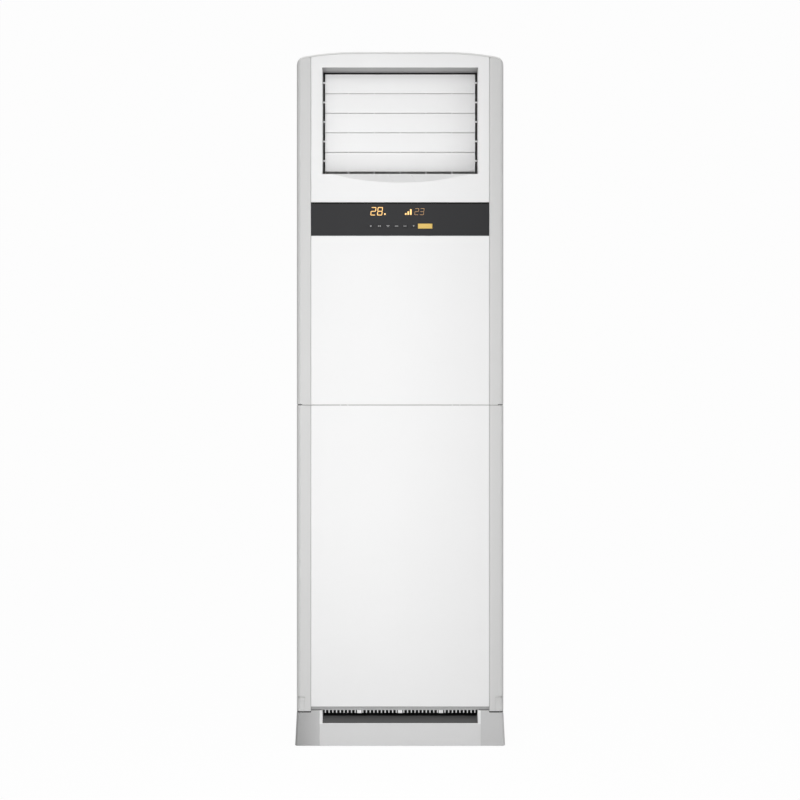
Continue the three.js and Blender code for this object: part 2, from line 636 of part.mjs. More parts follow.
// The foam duct turns the rising air forward into the louvre frame.
const makeOutletDuct = () => {
  const foamWall = 8;
  const mouth = FRAME_BACK + GAP;
  const reach = BACK - SHEET - GAP - foamWall - 15;
  const bend = 60;
  const profile = (grow, front, bottom) => {
    const shape = new THREE.Shape();
    shape.moveTo(front, bottom);
    shape.lineTo(reach + grow, bottom);
    shape.lineTo(reach + grow, DUCT_FOOT + bend);
    shape.quadraticCurveTo(reach + grow, SOFFIT + grow, mouth + bend, SOFFIT + grow);
    shape.lineTo(front, SOFFIT + grow);
    return shape;
  };
  const edge = OPENING_EDGE;
  const outer = prism(profile(foamWall, mouth, DUCT_FOOT), 'x', -edge - foamWall, edge + foamWall, 8);
  const inner = prism(profile(0, mouth - 1, DUCT_FOOT - 1), 'x', -edge, edge, 8);
  place('outlet_duct', cut(outer, inner), foam);
};

// ---------------------------------------------------------------------------------------------
// Door: panel, pillars, rails with the hooks and the comb, catches
// ---------------------------------------------------------------------------------------------

const HINGE_Y = FRONT + HINGE_SETBACK;
const HOOK_RADIUS = HINGE_PIN_RADIUS + GAP + HOOK_WALL;
const HINGE_Z = DOOR_TOP - PLASTIC - GAP - HOOK_RADIUS;
const RAIL_FRONT = FRONT + RETURN + GAP;
const RAIL_BACK = RAIL_FRONT + RAIL_DEPTH;
const RAIL_HALF = SIDE - FLANGE - 3;
const HOOKS = [-HOOK_SPACING / 2, HOOK_SPACING / 2];
const ARM_GAP = 0.5;              // between a hook and the arms that hold its pin
const ARM_WALL = 3;

const CATCH_OUT = SIDE - CATCH_EDGE;
const CATCH_IN = CATCH_OUT - CATCH_WIDTH;
const CATCH_TOP = PILLAR_BOTTOM + CATCH_HEIGHT;

const makeDoorFront = () => {
  place('door_panel', tray(DOOR_PANEL_FOOT, DOOR_TOP), white);
  const pocket = box(CATCH_IN - GAP, CATCH_OUT + GAP, FRONT - 1, FRONT + RETURN,
    PILLAR_BOTTOM - 1, CATCH_TOP + CATCH_TRAVEL + GAP);
  const relief = prism(polygon(   // lets the rear corner swing past the side panel
    [PILLAR_BACK - 2, DOOR_TOP + 1], [PILLAR_BACK + 1, HINGE_Z], [PILLAR_BACK + 1, DOOR_TOP + 1],
  ), 'x', PILLAR_EDGE, SIDE + 1);
  const right = cut(pillar(PILLAR_BOTTOM, DOOR_TOP), pocket, relief);
  place('door_right_pillar', right, paleGrey);
  place('door_left_pillar', mirrorX(right), paleGrey);
};

// A catch is flush with the pillar and has a lip behind the pocket's inner and upper edges.
const makeCatches = () => {
  const lip = 2;
  const depth = 8;
  const face = box(CATCH_IN, CATCH_OUT, FRONT, FRONT + depth, PILLAR_BOTTOM, CATCH_TOP);
  const back = box(CATCH_IN - lip, CATCH_OUT, FRONT, FRONT + depth,
    PILLAR_BOTTOM, CATCH_TOP + CATCH_TRAVEL + lip);
  const groove = box(CATCH_IN - lip, CATCH_OUT + 1, FRONT - 1, FRONT + 1,
    CATCH_TOP - 9, CATCH_TOP - 7.5);
  const right = cut(join(
    face.intersect(casing(0, 0, HEIGHT)), back.intersect(casing(PLASTIC + GAP, 0, HEIGHT))), groove);
  place('right_catch', right, paleGrey);
  place('left_catch', mirrorX(right), paleGrey);
};

const makeDoorRails = () => {
  const railTop = HINGE_Z - HOOK_RADIUS - ARM_GAP;
  const bar = slab(2 * RAIL_HALF, RAIL_FRONT, RAIL_BACK, railTop - TOP_RAIL_HEIGHT, railTop);
  const hooks = HOOKS.map((x) => {
    const from = x - HOOK_WIDTH / 2;
    const to = x + HOOK_WIDTH / 2;
    const eye = rod('x', HINGE_Y, HINGE_Z, HOOK_RADIUS, from, to, 12);
    const stem = box(from, to, HINGE_Y - HOOK_RADIUS, RAIL_BACK, railTop - TOP_RAIL_HEIGHT / 2,
      HINGE_Z - HINGE_PIN_RADIUS - GAP);
    const bore = rod('x', HINGE_Y, HINGE_Z, HINGE_PIN_RADIUS + GAP, from - 1, to + 1, 12);
    const snap = box(from - 1, to + 1, HINGE_Y, HINGE_Y + beyond, HINGE_Z - 2.6, HINGE_Z + 2.6);
    return cut(join(eye, stem), bore, snap);
  });
  place('door_top_rail', join(bar, ...hooks), paleGrey);

  const top = DOOR_PANEL_FOOT - GAP;
  const bottom = top - BOTTOM_RAIL_HEIGHT;
  const lip = slab(FRONT_PANEL_WIDTH, FRONT + BOTTOM_RAIL_SETBACK, RAIL_BACK, bottom, top);
  const ends = slab(2 * RAIL_HALF, RAIL_FRONT, RAIL_BACK, bottom, top);
  place('door_bottom_rail', join(lip, ends), paleGrey);

  const root = bottom - GAP;
  const half = SLOT_WIDTH / 2 - 1;
  const web = 2;                  // solid strip that carries the teeth
  const teeth = Math.floor((2 * half - COMB_TOOTH) / COMB_PITCH);
  const row = repeat(teeth + 1, (i) => (i - teeth / 2) * COMB_PITCH);
  const comb = polygon([half, root], [-half, root], ...row.flatMap((x) => [
    [x - COMB_TOOTH / 2, root - web], [x - COMB_TOOTH / 2, root - COMB_LENGTH],
    [x + COMB_TOOTH / 2, root - COMB_LENGTH], [x + COMB_TOOTH / 2, root - web],
  ]));
  const front = FRONT + COMB_SETBACK;
  const tabs = [-1, 0, 1].map((i) => box(
    i * COMB_TAB_SPACING - COMB_TAB / 2, i * COMB_TAB_SPACING + COMB_TAB / 2,
    front - 4, front + 1, root - COMB_LENGTH, root));
  place('intake_comb', join(prism(comb, 'y', front, front + 3), ...tabs), white);
};

// ---------------------------------------------------------------------------------------------
// Plinth, base and outer sheets
// ---------------------------------------------------------------------------------------------

const BASE_FLOOR = 2;
const BASE_INNER = SIDE - PLINTH_WALL - GAP - SHEET;
const BACK_INNER = BACK - SHEET;
const SHEET_WRAP = 14;            // how far a side panel wraps round the back corner

const makePlinth = () => {
  const shoulder = DOOR_PANEL_FOOT - 2 * GAP - BOTTOM_RAIL_HEIGHT - GAP;
  const flared = (inset, over) => {
    const geometry = new THREE.ExtrudeGeometry(planOutline(inset),
      { depth: PLINTH_HEIGHT + 2 * over, bevelEnabled: false, curveSegments: 4 });
    geometry.translate(0, 0, -over);
    const { position } = geometry.attributes;
    for (let i = 0; i < position.count; i += 1) {
      const x = position.getX(i);
      position.setX(i, x + Math.sign(x) * PLINTH_FLARE * (1 - position.getZ(i) / PLINTH_HEIGHT));
    }
    return asSolid(geometry);
  };
  const shell = cut(flared(0, 0), flared(PLINTH_WALL, 1));
  const cheek = slab(FRONT_PANEL_WIDTH, FRONT, FRONT + PLINTH_WALL, PLINTH_HEIGHT - 5, shoulder);
  const edge = SLOT_WIDTH / 2;
  const jambs = [-1, 1].map((s) => box(
    Math.min(s * edge, s * (edge + PLASTIC)), Math.max(s * edge, s * (edge + PLASTIC)),
    FRONT + 1, FRONT + RAMP_RUN, SLOT_SILL, shoulder));
  const slot = slab(SLOT_WIDTH, FRONT - 1, FRONT + RAMP_RUN + beyond, SLOT_SILL, shoulder + 1);
  const side = box(PANEL_EDGE - PLATE_MARGIN, SIDE + beyond, FRONT - 1, FRONT + PLATE_RISE,
    -1, shoulder + 1);
  place('plinth', cut(join(shell, cheek, ...jambs), slot, side, mirrorX(side)), plinthGrey);

  const near = FRONT + PLINTH_WALL + GAP;
  const far = near + RAMP_RUN;
  const crest = SLOT_SILL + RAMP_RISE;
  const ramp = polygon(
    [near, SLOT_SILL - 2.5], [near, SLOT_SILL - 0.5], [far, crest], [far + 2, crest],
    [far + 2, BASE_FLOOR + GAP], [far, BASE_FLOOR + GAP], [far, crest - 2.4],
  );
  place('intake_ramp', prism(ramp, 'x', -edge + GAP, edge - GAP), black);
};

const makeBasePan = () => {
  const clear = PLINTH_WALL + GAP;
  const pan = casing(clear, 0, BASE_RIM);
  const hollow = casing(clear + SHEET, BASE_FLOOR, BASE_RIM + 1);
  const front = slab(BODY_WIDTH, FRONT, FRONT + RAMP_RUN, BASE_FLOOR + SLOT_SILL / 4, BASE_RIM + 1);
  place('base_pan', cut(pan, hollow, front), steel);
};

const makeOuterSheets = () => {
  const shell = cut(casing(0, CASE_FOOT, HEIGHT), casing(SHEET, 0, HEIGHT + 1));
  const wrap = box(SIDE - SHEET_WRAP, SIDE, SIDE_FRONT, BACK, CASE_FOOT, HEIGHT);
  const flange = box(SIDE - FLANGE, SIDE - SHEET / 2, SIDE_FRONT, SIDE_FRONT + SHEET, CASE_FOOT, HEIGHT);
  const slots = repeat(SIDE_SLOTS, (i) => {
    const z = SIDE_SLOT_FIRST + i * SIDE_SLOT_PITCH;
    const y = FRONT + SIDE_SLOT_SETBACK;
    return box(SIDE_INNER - 1, SIDE + 1, y, y + SIDE_SLOT_LENGTH, z, z + SIDE_SLOT_HEIGHT);
  });
  const right = cut(join(shell.intersect(wrap), flange).intersect(belowCover), ...slots);
  place('right_side_panel', right, paintedSheet);
  place('left_side_panel', mirrorX(right), paintedSheet);

  const half = SIDE - SHEET_WRAP - GAP;
  const sheet = slab(2 * half, BACK_INNER, BACK, CASE_FOOT, HEIGHT);
  const returns = [-1, 1].map((s) => box(
    Math.min(s * half, s * (half - SHEET)), Math.max(s * half, s * (half - SHEET)),
    BACK - RETURN, BACK - SHEET / 2, CASE_FOOT, HEIGHT));
  const knockout = ({ x, z, radius }) =>
    prism(ring(x, z, radius, radius - 3), 'y', BACK - 0.6, BACK + 1, 12);
  const back = cut(join(sheet, ...returns).intersect(belowCover),
    knockout(PIPE_KNOCKOUT), knockout(CABLE_KNOCKOUT));
  place('back_panel', back, paintedSheet);
};

// ---------------------------------------------------------------------------------------------
// Lower chamber: cross rail, deck, bulkhead, scroll, impeller, motor and filter
// ---------------------------------------------------------------------------------------------

const BULKHEAD_Y = FRONT + BULKHEAD_SETBACK;
const BULKHEAD_BACK = BULKHEAD_Y + SHEET;
const SCROLL_WALL = 2;
const SCROLL_FRONT = BULKHEAD_BACK + GAP;
const SCROLL_BACK = SCROLL_FRONT + SCROLL_DEPTH;
const TONGUE = 60;                // degrees from +X, where the spiral starts
const SCROLL_TURN = 240;
const OUTLET_LEFT = FAN_X - SCROLL_START - SCROLL_GROWTH;
const OUTLET_RIGHT = FAN_X + SCROLL_START * Math.cos(degrees(TONGUE));
const THROAT_LENGTH = 16;
const FAN_FRONT = BULKHEAD_Y + THROAT_LENGTH + 2;
const FAN_BACK = FAN_FRONT + FAN_WIDTH;
const MOTOR_FRONT = SCROLL_BACK + 5;
const MOTOR_BACK = MOTOR_FRONT + MOTOR_LENGTH;
const PAN_FRONT = FRONT + WALL_SETBACK + SHEET + GAP;
const PAN_BACK = PAN_FRONT + PAN_DEPTH;
const PAN_FLOOR = DECK_TOP + GAP + SHEET;
const SPOUT_X = SIDE - 30;
const SPOUT_Y = BULKHEAD_BACK + 12;
const SPOUT_RADIUS = 8;
const PIPE_X = SIDE - 20;
const SUCTION_RADIUS = 7;
const LIQUID_Y = PIPE_Y + PIPE_SPACING;

const makeCrossRail = () => {
  const deck = slab(2 * RAIL_HALF, RAIL_FRONT, BULKHEAD_Y - GAP, DECK_HEIGHT, DECK_TOP);
  const web = slab(2 * RAIL_HALF, RAIL_FRONT, RAIL_FRONT + SHEET, DECK_HEIGHT, DECK_HEIGHT + RAIL_WEB);
  const leg = RAIL_BACK - 0.3;
  const arms = HOOKS.flatMap((x) => [-1, 1].map((s) => {
    const near = x + s * (HOOK_WIDTH / 2 + ARM_GAP);
    const shape = polygon(
      [HINGE_Y - ARM_HALF, HINGE_Z - ARM_HALF], [leg + ARM_LEG, HINGE_Z - ARM_HALF],
      [leg + ARM_LEG, DECK_HEIGHT + 1], [leg, DECK_HEIGHT + 1],
      [leg, HINGE_Z + ARM_HALF], [HINGE_Y - ARM_HALF, HINGE_Z + ARM_HALF],
    );
    return prism(shape, 'x', Math.min(near, near + s * ARM_WALL), Math.max(near, near + s * ARM_WALL));
  }));
  const reach = HOOK_WIDTH / 2 + ARM_GAP + ARM_WALL;
  const pins = HOOKS.map((x) => rod('x', HINGE_Y, HINGE_Z, HINGE_PIN_RADIUS, x - reach, x + reach, 12));
  place('cross_rail', join(deck, web, ...arms, ...pins), steel);
};

const makeDeck = () => {
  const plate = slab(2 * (SIDE_INNER - GAP), BULKHEAD_Y, BACK - RETURN - GAP, DECK_HEIGHT, DECK_TOP);
  const outlet = box(OUTLET_LEFT + SCROLL_WALL, OUTLET_RIGHT - SCROLL_WALL, PAN_BACK + 2,
    SCROLL_BACK - SCROLL_WALL, DECK_HEIGHT - 1, DECK_TOP + 1);
  const hole = (x, y, radius) => rod('z', x, y, radius, DECK_HEIGHT - 1, DECK_TOP + 1, 12);
  place('deck', cut(plate, outlet, hole(SPOUT_X, SPOUT_Y, SPOUT_RADIUS + GAP),
    hole(PIPE_X, PIPE_Y, SUCTION_RADIUS + GAP), hole(PIPE_X, LIQUID_Y, TUBE_RADIUS + GAP)), steel);
};

// A ring whose section (radius, y) is turned about a line along Y.
const turned = (section, x, z, segments) => {
  const geometry = new THREE.LatheGeometry(section.map(([r, y]) => new THREE.Vector2(r, y)), segments);
  geometry.translate(x, 0, z);
  return asSolid(geometry);
};

const makeBulkhead = () => {
  const mouth = THROAT_RADIUS + 22;
  const wide = slab(2 * (SIDE_INNER - GAP), BULKHEAD_Y, BULKHEAD_BACK, CASE_FOOT, DECK_HEIGHT - GAP);
  const low = slab(2 * (BASE_INNER - GAP), BULKHEAD_Y, BULKHEAD_BACK, BASE_FLOOR + GAP, CASE_FOOT + 1);
  const hole = rod('y', FAN_X, FAN_Z, mouth - 1, BULKHEAD_Y - 1, BULKHEAD_BACK + 1, 24);
  const steps = 3;
  const bend = (radius) => repeat(steps + 1, (i) => {
    const angle = (Math.PI / 2) * (i / steps);
    return [mouth - radius * Math.sin(angle), BULKHEAD_Y + THROAT_LENGTH - radius * Math.cos(angle)];
  });
  const outer = bend(THROAT_LENGTH);
  const inner = bend(THROAT_LENGTH - SHEET).reverse();
  const flare = turned([...outer, ...inner, outer[0]].reverse(), FAN_X, FAN_Z, 24);
  const depth = FILTER_THICKNESS + 2 * GAP;
  const edge = FILTER_WIDTH / 2;
  const top = FILTER_FOOT + FILTER_HEIGHT - GUIDE_DROP;
  const foot = FILTER_FOOT - GAP - SHEET;
  const guides = [-1, 1].flatMap((s) => {
    const side = (a, b, y0, y1) => box(Math.min(s * a, s * b), Math.max(s * a, s * b), y0, y1, foot, top);
    return [
      side(edge + GAP, edge + GAP + SHEET, BULKHEAD_Y - depth - SHEET, BULKHEAD_Y + 1),
      side(edge - 8, edge + GAP + SHEET, BULKHEAD_Y - depth - SHEET, BULKHEAD_Y - depth),
    ];
  });
  const ledge = slab(2 * (edge + GAP), BULKHEAD_Y - depth - SHEET, BULKHEAD_Y + 1, foot, foot + SHEET);
  place('fan_bulkhead', join(cut(join(wide, low), hole), flare, ...guides, ledge), steel);
};

const makeFilter = () => {
  const front = BULKHEAD_Y - GAP - FILTER_THICKNESS;
  const back = BULKHEAD_Y - GAP;
  const frame = slab(FILTER_WIDTH, front, back, FILTER_FOOT, FILTER_FOOT + FILTER_HEIGHT);
  const columns = 3;
  const rows = 5;
  const bar = 7;
  const wide = (FILTER_WIDTH - bar) / columns;
  const high = (FILTER_HEIGHT - bar) / rows;
  const windows = repeat(columns * rows, (i) => {
    const x = -FILTER_WIDTH / 2 + bar + (i % columns) * wide;
    const z = FILTER_FOOT + bar + Math.floor(i / columns) * high;
    return box(x, x + wide - bar, front - 1, back + 1, z, z + high - bar);
  });
  const middle = (front + back) / 2;
  const net = slab(FILTER_WIDTH - bar, middle - 0.4, middle + 0.4, FILTER_FOOT + bar / 2,
    FILTER_FOOT + FILTER_HEIGHT - bar / 2);
  place('air_filter', join(cut(frame, ...windows), net), black);
};

const makeScroll = () => {
  const top = DECK_HEIGHT - GAP;
  const steps = 20;
  const outline = (wall, over) => {
    const spiral = repeat(steps + 1, (i) => {
      const turn = i / steps;
      const angle = degrees(TONGUE - SCROLL_TURN * turn);
      const radius = SCROLL_START + SCROLL_GROWTH * turn - wall;
      return [FAN_X + radius * Math.cos(angle), FAN_Z + radius * Math.sin(angle)];
    });
    return polygon(...spiral, [OUTLET_LEFT + wall, top + over], [OUTLET_RIGHT - wall, top + over]);
  };
  const shell = prism(outline(0, 0), 'y', SCROLL_FRONT, SCROLL_BACK);
  const hollow = prism(outline(SCROLL_WALL, 1), 'y', SCROLL_FRONT - 1, SCROLL_BACK - SCROLL_WALL);
  const eye = rod('y', FAN_X, FAN_Z, 3 * SHAFT_RADIUS, SCROLL_FRONT, SCROLL_BACK + 1, 16);
  place('fan_scroll', cut(shell, hollow, eye), steel);
};

// The impeller is drawn about its own axle: a back disc with a hub, curved blades and a front ring.
const makeImpeller = () => {
  const inner = FAN_RADIUS - BLADE_DEPTH;
  const bladeWall = 1.6;
  const sweep = degrees(9);
  const steps = 2;
  const curve = (offset) => repeat(steps + 1, (i) => {
    const t = i / steps;
    const angle = sweep * t * t + offset / FAN_RADIUS;
    const radius = inner + BLADE_DEPTH * t;
    return [radius * Math.cos(angle), radius * Math.sin(angle)];
  });
  const blade = new THREE.ExtrudeGeometry(polygon(...curve(0), ...curve(bladeWall).reverse()),
    { depth: FAN_WIDTH - 3, bevelEnabled: false });
  blade.applyMatrix4(AXES.y);
  blade.translate(0, FAN_BACK - 1, 0);
  const blades = repeat(BLADE_COUNT, (i) =>
    asSolid(blade.clone().rotateY((2 * Math.PI * i) / BLADE_COUNT)));
  const disc = rod('y', 0, 0, FAN_RADIUS + 1, FAN_BACK - 3, FAN_BACK, 36);
  const frontRing = prism(ring(0, 0, FAN_RADIUS + 1, inner - 1), 'y', FAN_FRONT, FAN_FRONT + 4, 18);
  const hub = rod('y', 0, 0, 3 * SHAFT_RADIUS, FAN_BACK - HUB_LENGTH, FAN_BACK, 12);
  const bore = rod('y', 0, 0, SHAFT_RADIUS + GAP, FAN_FRONT, FAN_BACK + 1, 12);
  place('impeller', cut(join(disc, frontRing, hub, ...blades), bore), black, FAN_X, 0, FAN_Z);
};

const makeMotor = () => {
  const chamfer = 6;
  const can = turned([
    [0, MOTOR_FRONT - 3], [3 * SHAFT_RADIUS - 2, MOTOR_FRONT - 3], [3 * SHAFT_RADIUS + 4, MOTOR_FRONT + 3],
    [MOTOR_RADIUS - chamfer, MOTOR_FRONT + 3], [MOTOR_RADIUS, MOTOR_FRONT + 3 + chamfer],
    [MOTOR_RADIUS, MOTOR_BACK - chamfer], [MOTOR_RADIUS - chamfer, MOTOR_BACK], [0, MOTOR_BACK],
  ], FAN_X, FAN_Z, 20);
  const shaft = rod('y', FAN_X, FAN_Z, SHAFT_RADIUS, FAN_BACK - HUB_LENGTH + 4, MOTOR_FRONT, 12);
  place('fan_motor', join(can, shaft), steel);

  const plateFront = MOTOR_BACK + GAP;
  const plate = rod('y', FAN_X, FAN_Z, MOTOR_RADIUS + 10, plateFront, plateFront + 2, 20);
  const reach = MOTOR_RADIUS * 0.8;
  const legs = [-1, 1].flatMap((s) => [-1, 1].map((t) => box(
    FAN_X + s * reach - 8, FAN_X + s * reach + 8, plateFront + 1, BACK_INNER - GAP,
    FAN_Z + t * reach * 0.8 - 8, FAN_Z + t * reach * 0.8 + 8)));
  place('motor_bracket', join(plate, ...legs), steel);
};

// ---------------------------------------------------------------------------------------------
// Upper chamber: wall, electrical box, drain pan, coil and pipes
// ---------------------------------------------------------------------------------------------

const WALL_FRONT = FRONT + WALL_SETBACK;

const makeChamberWall = () => {
  const wall = slab(2 * (SIDE_INNER - GAP), WALL_FRONT, WALL_FRONT + SHEET, DECK_TOP + GAP,
    OPENING_BOTTOM - FRAME_WALL - GAP);
  place('chamber_wall', wall, steel);

  const back = WALL_FRONT - GAP;
  const front = back - BOX_DEPTH;
  const foot = DECK_TOP + BOX_RISE;
  const crest = foot + (OPENING_BOTTOM - DECK_TOP) / 2;
  const shell = slab(BOX_WIDTH, front, back, foot, crest);
  const lid = slab(BOX_WIDTH + 2 * BOX_LID, front - 2, front + BOX_LID, foot - BOX_LID, crest + BOX_LID);
  const hollow = slab(BOX_WIDTH - 2 * SHEET, front, back + 1, foot + SHEET, crest - SHEET);
  const glands = [-90, -50].map((x) => rod('z', x, back - BOX_DEPTH / 2, BOX_GLAND,
    foot - 2 * BOX_GLAND, foot + 1, 12));
  place('electrical_box', join(cut(join(shell, lid), hollow), ...glands), paintedSheet);
};

const makeDrainPan = () => {
  const floor = DECK_TOP + GAP;
  const half = SIDE_INNER - 8;
  const tub = slab(2 * half, PAN_FRONT, PAN_BACK, floor, floor + PAN_HEIGHT);
  const hollow = slab(2 * (half - SHEET), PAN_FRONT + SHEET, PAN_BACK - SHEET, PAN_FLOOR,
    floor + PAN_HEIGHT + 1);
  const spout = rod('z', SPOUT_X, SPOUT_Y, SPOUT_RADIUS, DECK_HEIGHT - 26, PAN_FLOOR, 12);
  const bore = rod('z', SPOUT_X, SPOUT_Y, SPOUT_RADIUS - 2, DECK_HEIGHT - 27, PAN_FLOOR + 1, 12);
  place('drain_pan', cut(join(cut(tub, hollow), spout), bore), foam);
};

// A round tube along a line through corners, each corner rounded in a few steps.
class Route extends THREE.Curve {
  constructor(corners, radius, steps) {
    super();
    const inside = corners.slice(1, -1).flatMap((corner, i) => {
      const before = corners[i].clone().sub(corner).setLength(radius).add(corner);
      const after = corners[i + 2].clone().sub(corner).setLength(radius).add(corner);
      return new THREE.QuadraticBezierCurve3(before, corner, after).getPoints(steps);
    });
    this.stops = [corners[0], ...inside, corners[corners.length - 1]];
  }

  getPoint(t, target = new THREE.Vector3()) {
    const at = t * (this.stops.length - 1);
    const from = Math.min(Math.floor(at), this.stops.length - 2);
    return target.lerpVectors(this.stops[from], this.stops[from + 1], at - from);
  }

  getPointAt(u, target) {
    return this.getPoint(u, target);
  }

  getTangentAt(u, target) {
    return this.getTangent(u, target);
  }
}

const tube = (corners, radius, bend, sides, bendSteps = 4) => {
  const route = new Route(corners.map((corner) => new THREE.Vector3(...corner)), bend, bendSteps);
  return asSolid(new THREE.ExtrudeGeometry(disc(0, 0, radius), {
    steps: route.stops.length - 1, extrudePath: route, curveSegments: sides / 2,
  }));
};

// The coil leans back between the drain pan and the duct. Its places are given in (across, along).
const leanSine = Math.sin(degrees(COIL_LEAN));
const leanCosine = Math.cos(degrees(COIL_LEAN));
const COIL_FOOT = DECK_TOP + GAP + PAN_HEIGHT + COIL_ROOM;
const COIL_CREST = DUCT_FOOT - COIL_ROOM;
const COIL_LENGTH = (COIL_CREST - COIL_FOOT - COIL_THICKNESS * leanSine) / leanCosine;
const COIL_Z = (COIL_FOOT + COIL_CREST) / 2;
const COIL_Y = PAN_FRONT + SHEET + COIL_SETBACK
  + (COIL_LENGTH * leanSine + COIL_THICKNESS * leanCosine) / 2;

const coilPlace = (across, along) => [
  COIL_Y + across * leanCosine + along * leanSine,
  COIL_Z - across * leanSine + along * leanCosine,
];

const makeCoil = () => {
  const pitch = COIL_WIDTH / FIN_COUNT;
  const fin = pitch / 4;
  const core = 3;
  const half = COIL_THICKNESS / 2;
  const edge = (side) => repeat(FIN_COUNT, (i) => {
    const x = -COIL_WIDTH / 2 + i * pitch;
    return [[x, side * half], [x + fin, side * half], [x + fin, side * core], [x + pitch, side * core]];
  }).flat();
  const outline = polygon(...edge(-1), ...edge(1).reverse());
  const fins = prism(outline, 'z', -COIL_LENGTH / 2, COIL_LENGTH / 2);
  place('evaporator_fins', fins, aluminium, 0, COIL_Y, COIL_Z, -degrees(COIL_LEAN));

  const start = COIL_WIDTH / 2 + GAP;
  const margin = 3;
  const corners = [[-1, -1], [1, -1], [1, 1], [-1, 1]].map(([s, t]) =>
    coilPlace(s * (half + margin), t * (COIL_LENGTH / 2 + margin)));
  const sheet = prism(polygon(...corners), 'x', start, start + SHEET);
  const [, lowest] = coilPlace(half, -COIL_LENGTH / 2);
  const foot = box(start, start + SHEET, PAN_FRONT + 2 * SHEET, PAN_BACK - 3 * SHEET,
    PAN_FLOOR + GAP, lowest + 20);
  const step = COIL_LENGTH / BEND_COUNT;
  const out = start + 16;
  const bends = repeat(BEND_COUNT, (i) => {
    const z = (i - (BEND_COUNT - 1) / 2) * step;
    const [y0, z0] = coilPlace(-half / 2, z - half / 3);
    const [y1, z1] = coilPlace(half / 2, z + half / 3);
    return tube([[start + 1, y0, z0], [out, y0, z0], [out, y1, z1], [start + 1, y1, z1]],
      TUBE_RADIUS, 9, 6, 2);
  });
  const right = join(sheet, foot, ...bends);
  place('evaporator_right_end', right, copper);
  place('evaporator_left_end', mirrorX(right), copper);

  const pipe = (name, along, radius, y, sides) => {
    const [outY, outZ] = coilPlace(0, along);
    const route = tube([[start + SHEET + GAP, outY, outZ], [PIPE_X, outY, outZ], [PIPE_X, y, outZ],
      [PIPE_X, y, PIPE_END]], radius, PIPE_BEND, sides, 3);
    const nut = rod('z', PIPE_X, y, radius * 1.8, PIPE_END - NUT_LENGTH, PIPE_END + 1, 6);
    place(name, join(route, nut), copper);
  };
  pipe('suction_pipe', -2.5 * step, SUCTION_RADIUS, PIPE_Y, 8);
  pipe('liquid_pipe', -1.5 * step, TUBE_RADIUS, LIQUID_Y, 8);
};

makeTopCover();
makeUpperFront();
makeOutletSurround();
makeControlStrip();
makeLouvreFrame();
repeat(VANE_COUNT, makeVane);
makeVaneLink();
makeSwivelMotors();
repeat(DEFLECTOR_COUNT, makeDeflector);
makeDeflectorLink();
makeOutletDuct();
makeDoorFront();
makeCatches();
makeDoorRails();
makePlinth();
makeBasePan();
makeOuterSheets();
makeCrossRail();
makeDeck();
makeBulkhead();
makeFilter();
makeScroll();
makeImpeller();
makeMotor();
makeChamberWall();
makeDrainPan();
makeCoil();

export default object;
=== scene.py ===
"""Looks for a floor standing air conditioner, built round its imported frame.

Metres, +Z up, the front faces -Y. Each operator makes one piece or a group of like pieces, and
the panel in the 3D view's sidebar lists them in the order in which main() calls them.
"""

import json
import math

import bmesh
import bpy
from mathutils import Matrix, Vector


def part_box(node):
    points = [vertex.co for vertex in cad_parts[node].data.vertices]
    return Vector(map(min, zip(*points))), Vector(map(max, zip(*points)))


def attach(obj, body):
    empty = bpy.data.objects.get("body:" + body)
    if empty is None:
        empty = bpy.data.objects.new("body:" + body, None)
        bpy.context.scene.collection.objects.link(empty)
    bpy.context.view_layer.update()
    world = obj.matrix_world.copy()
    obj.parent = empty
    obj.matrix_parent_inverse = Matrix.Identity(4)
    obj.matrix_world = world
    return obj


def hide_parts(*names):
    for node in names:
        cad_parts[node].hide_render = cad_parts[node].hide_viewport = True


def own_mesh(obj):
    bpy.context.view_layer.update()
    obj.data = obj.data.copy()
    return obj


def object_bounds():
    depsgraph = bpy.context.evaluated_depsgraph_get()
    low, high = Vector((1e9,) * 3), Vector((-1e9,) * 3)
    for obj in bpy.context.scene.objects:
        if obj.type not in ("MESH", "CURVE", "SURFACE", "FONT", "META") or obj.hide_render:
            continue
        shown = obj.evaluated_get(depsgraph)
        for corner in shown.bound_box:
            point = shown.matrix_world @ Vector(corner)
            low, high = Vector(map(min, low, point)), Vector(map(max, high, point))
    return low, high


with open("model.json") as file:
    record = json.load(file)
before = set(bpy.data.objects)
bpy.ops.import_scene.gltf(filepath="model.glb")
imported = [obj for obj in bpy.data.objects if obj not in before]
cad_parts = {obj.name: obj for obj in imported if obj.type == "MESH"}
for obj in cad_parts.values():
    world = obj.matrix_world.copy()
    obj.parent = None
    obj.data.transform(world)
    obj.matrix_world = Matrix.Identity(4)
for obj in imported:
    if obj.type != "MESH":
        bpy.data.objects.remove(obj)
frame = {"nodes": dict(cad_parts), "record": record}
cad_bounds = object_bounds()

bl_info = {
    "name": "Floor standing air conditioner",
    "version": (1, 0, 0),
    "blender": (4, 5, 0),
    "location": "3D View > Sidebar > Air conditioner",
    "description": "Finishes and fine pieces for a floor standing air conditioner",
    "category": "Add Mesh",
}

MM = 0.001
RECORD = frame["record"]
SLOT_OF = {part["node"]: part["material_slot"] for part in RECORD["subparts"]}
BODY_OF = {node: body for body, nodes in RECORD["behaviour"]["bodies"].items() for node in nodes}


def numbered(stem):
    """The nodes that share a stem and end in a number, in order."""
    return sorted(node for node in frame["nodes"] if node.startswith(stem) and node[-1].isdigit())


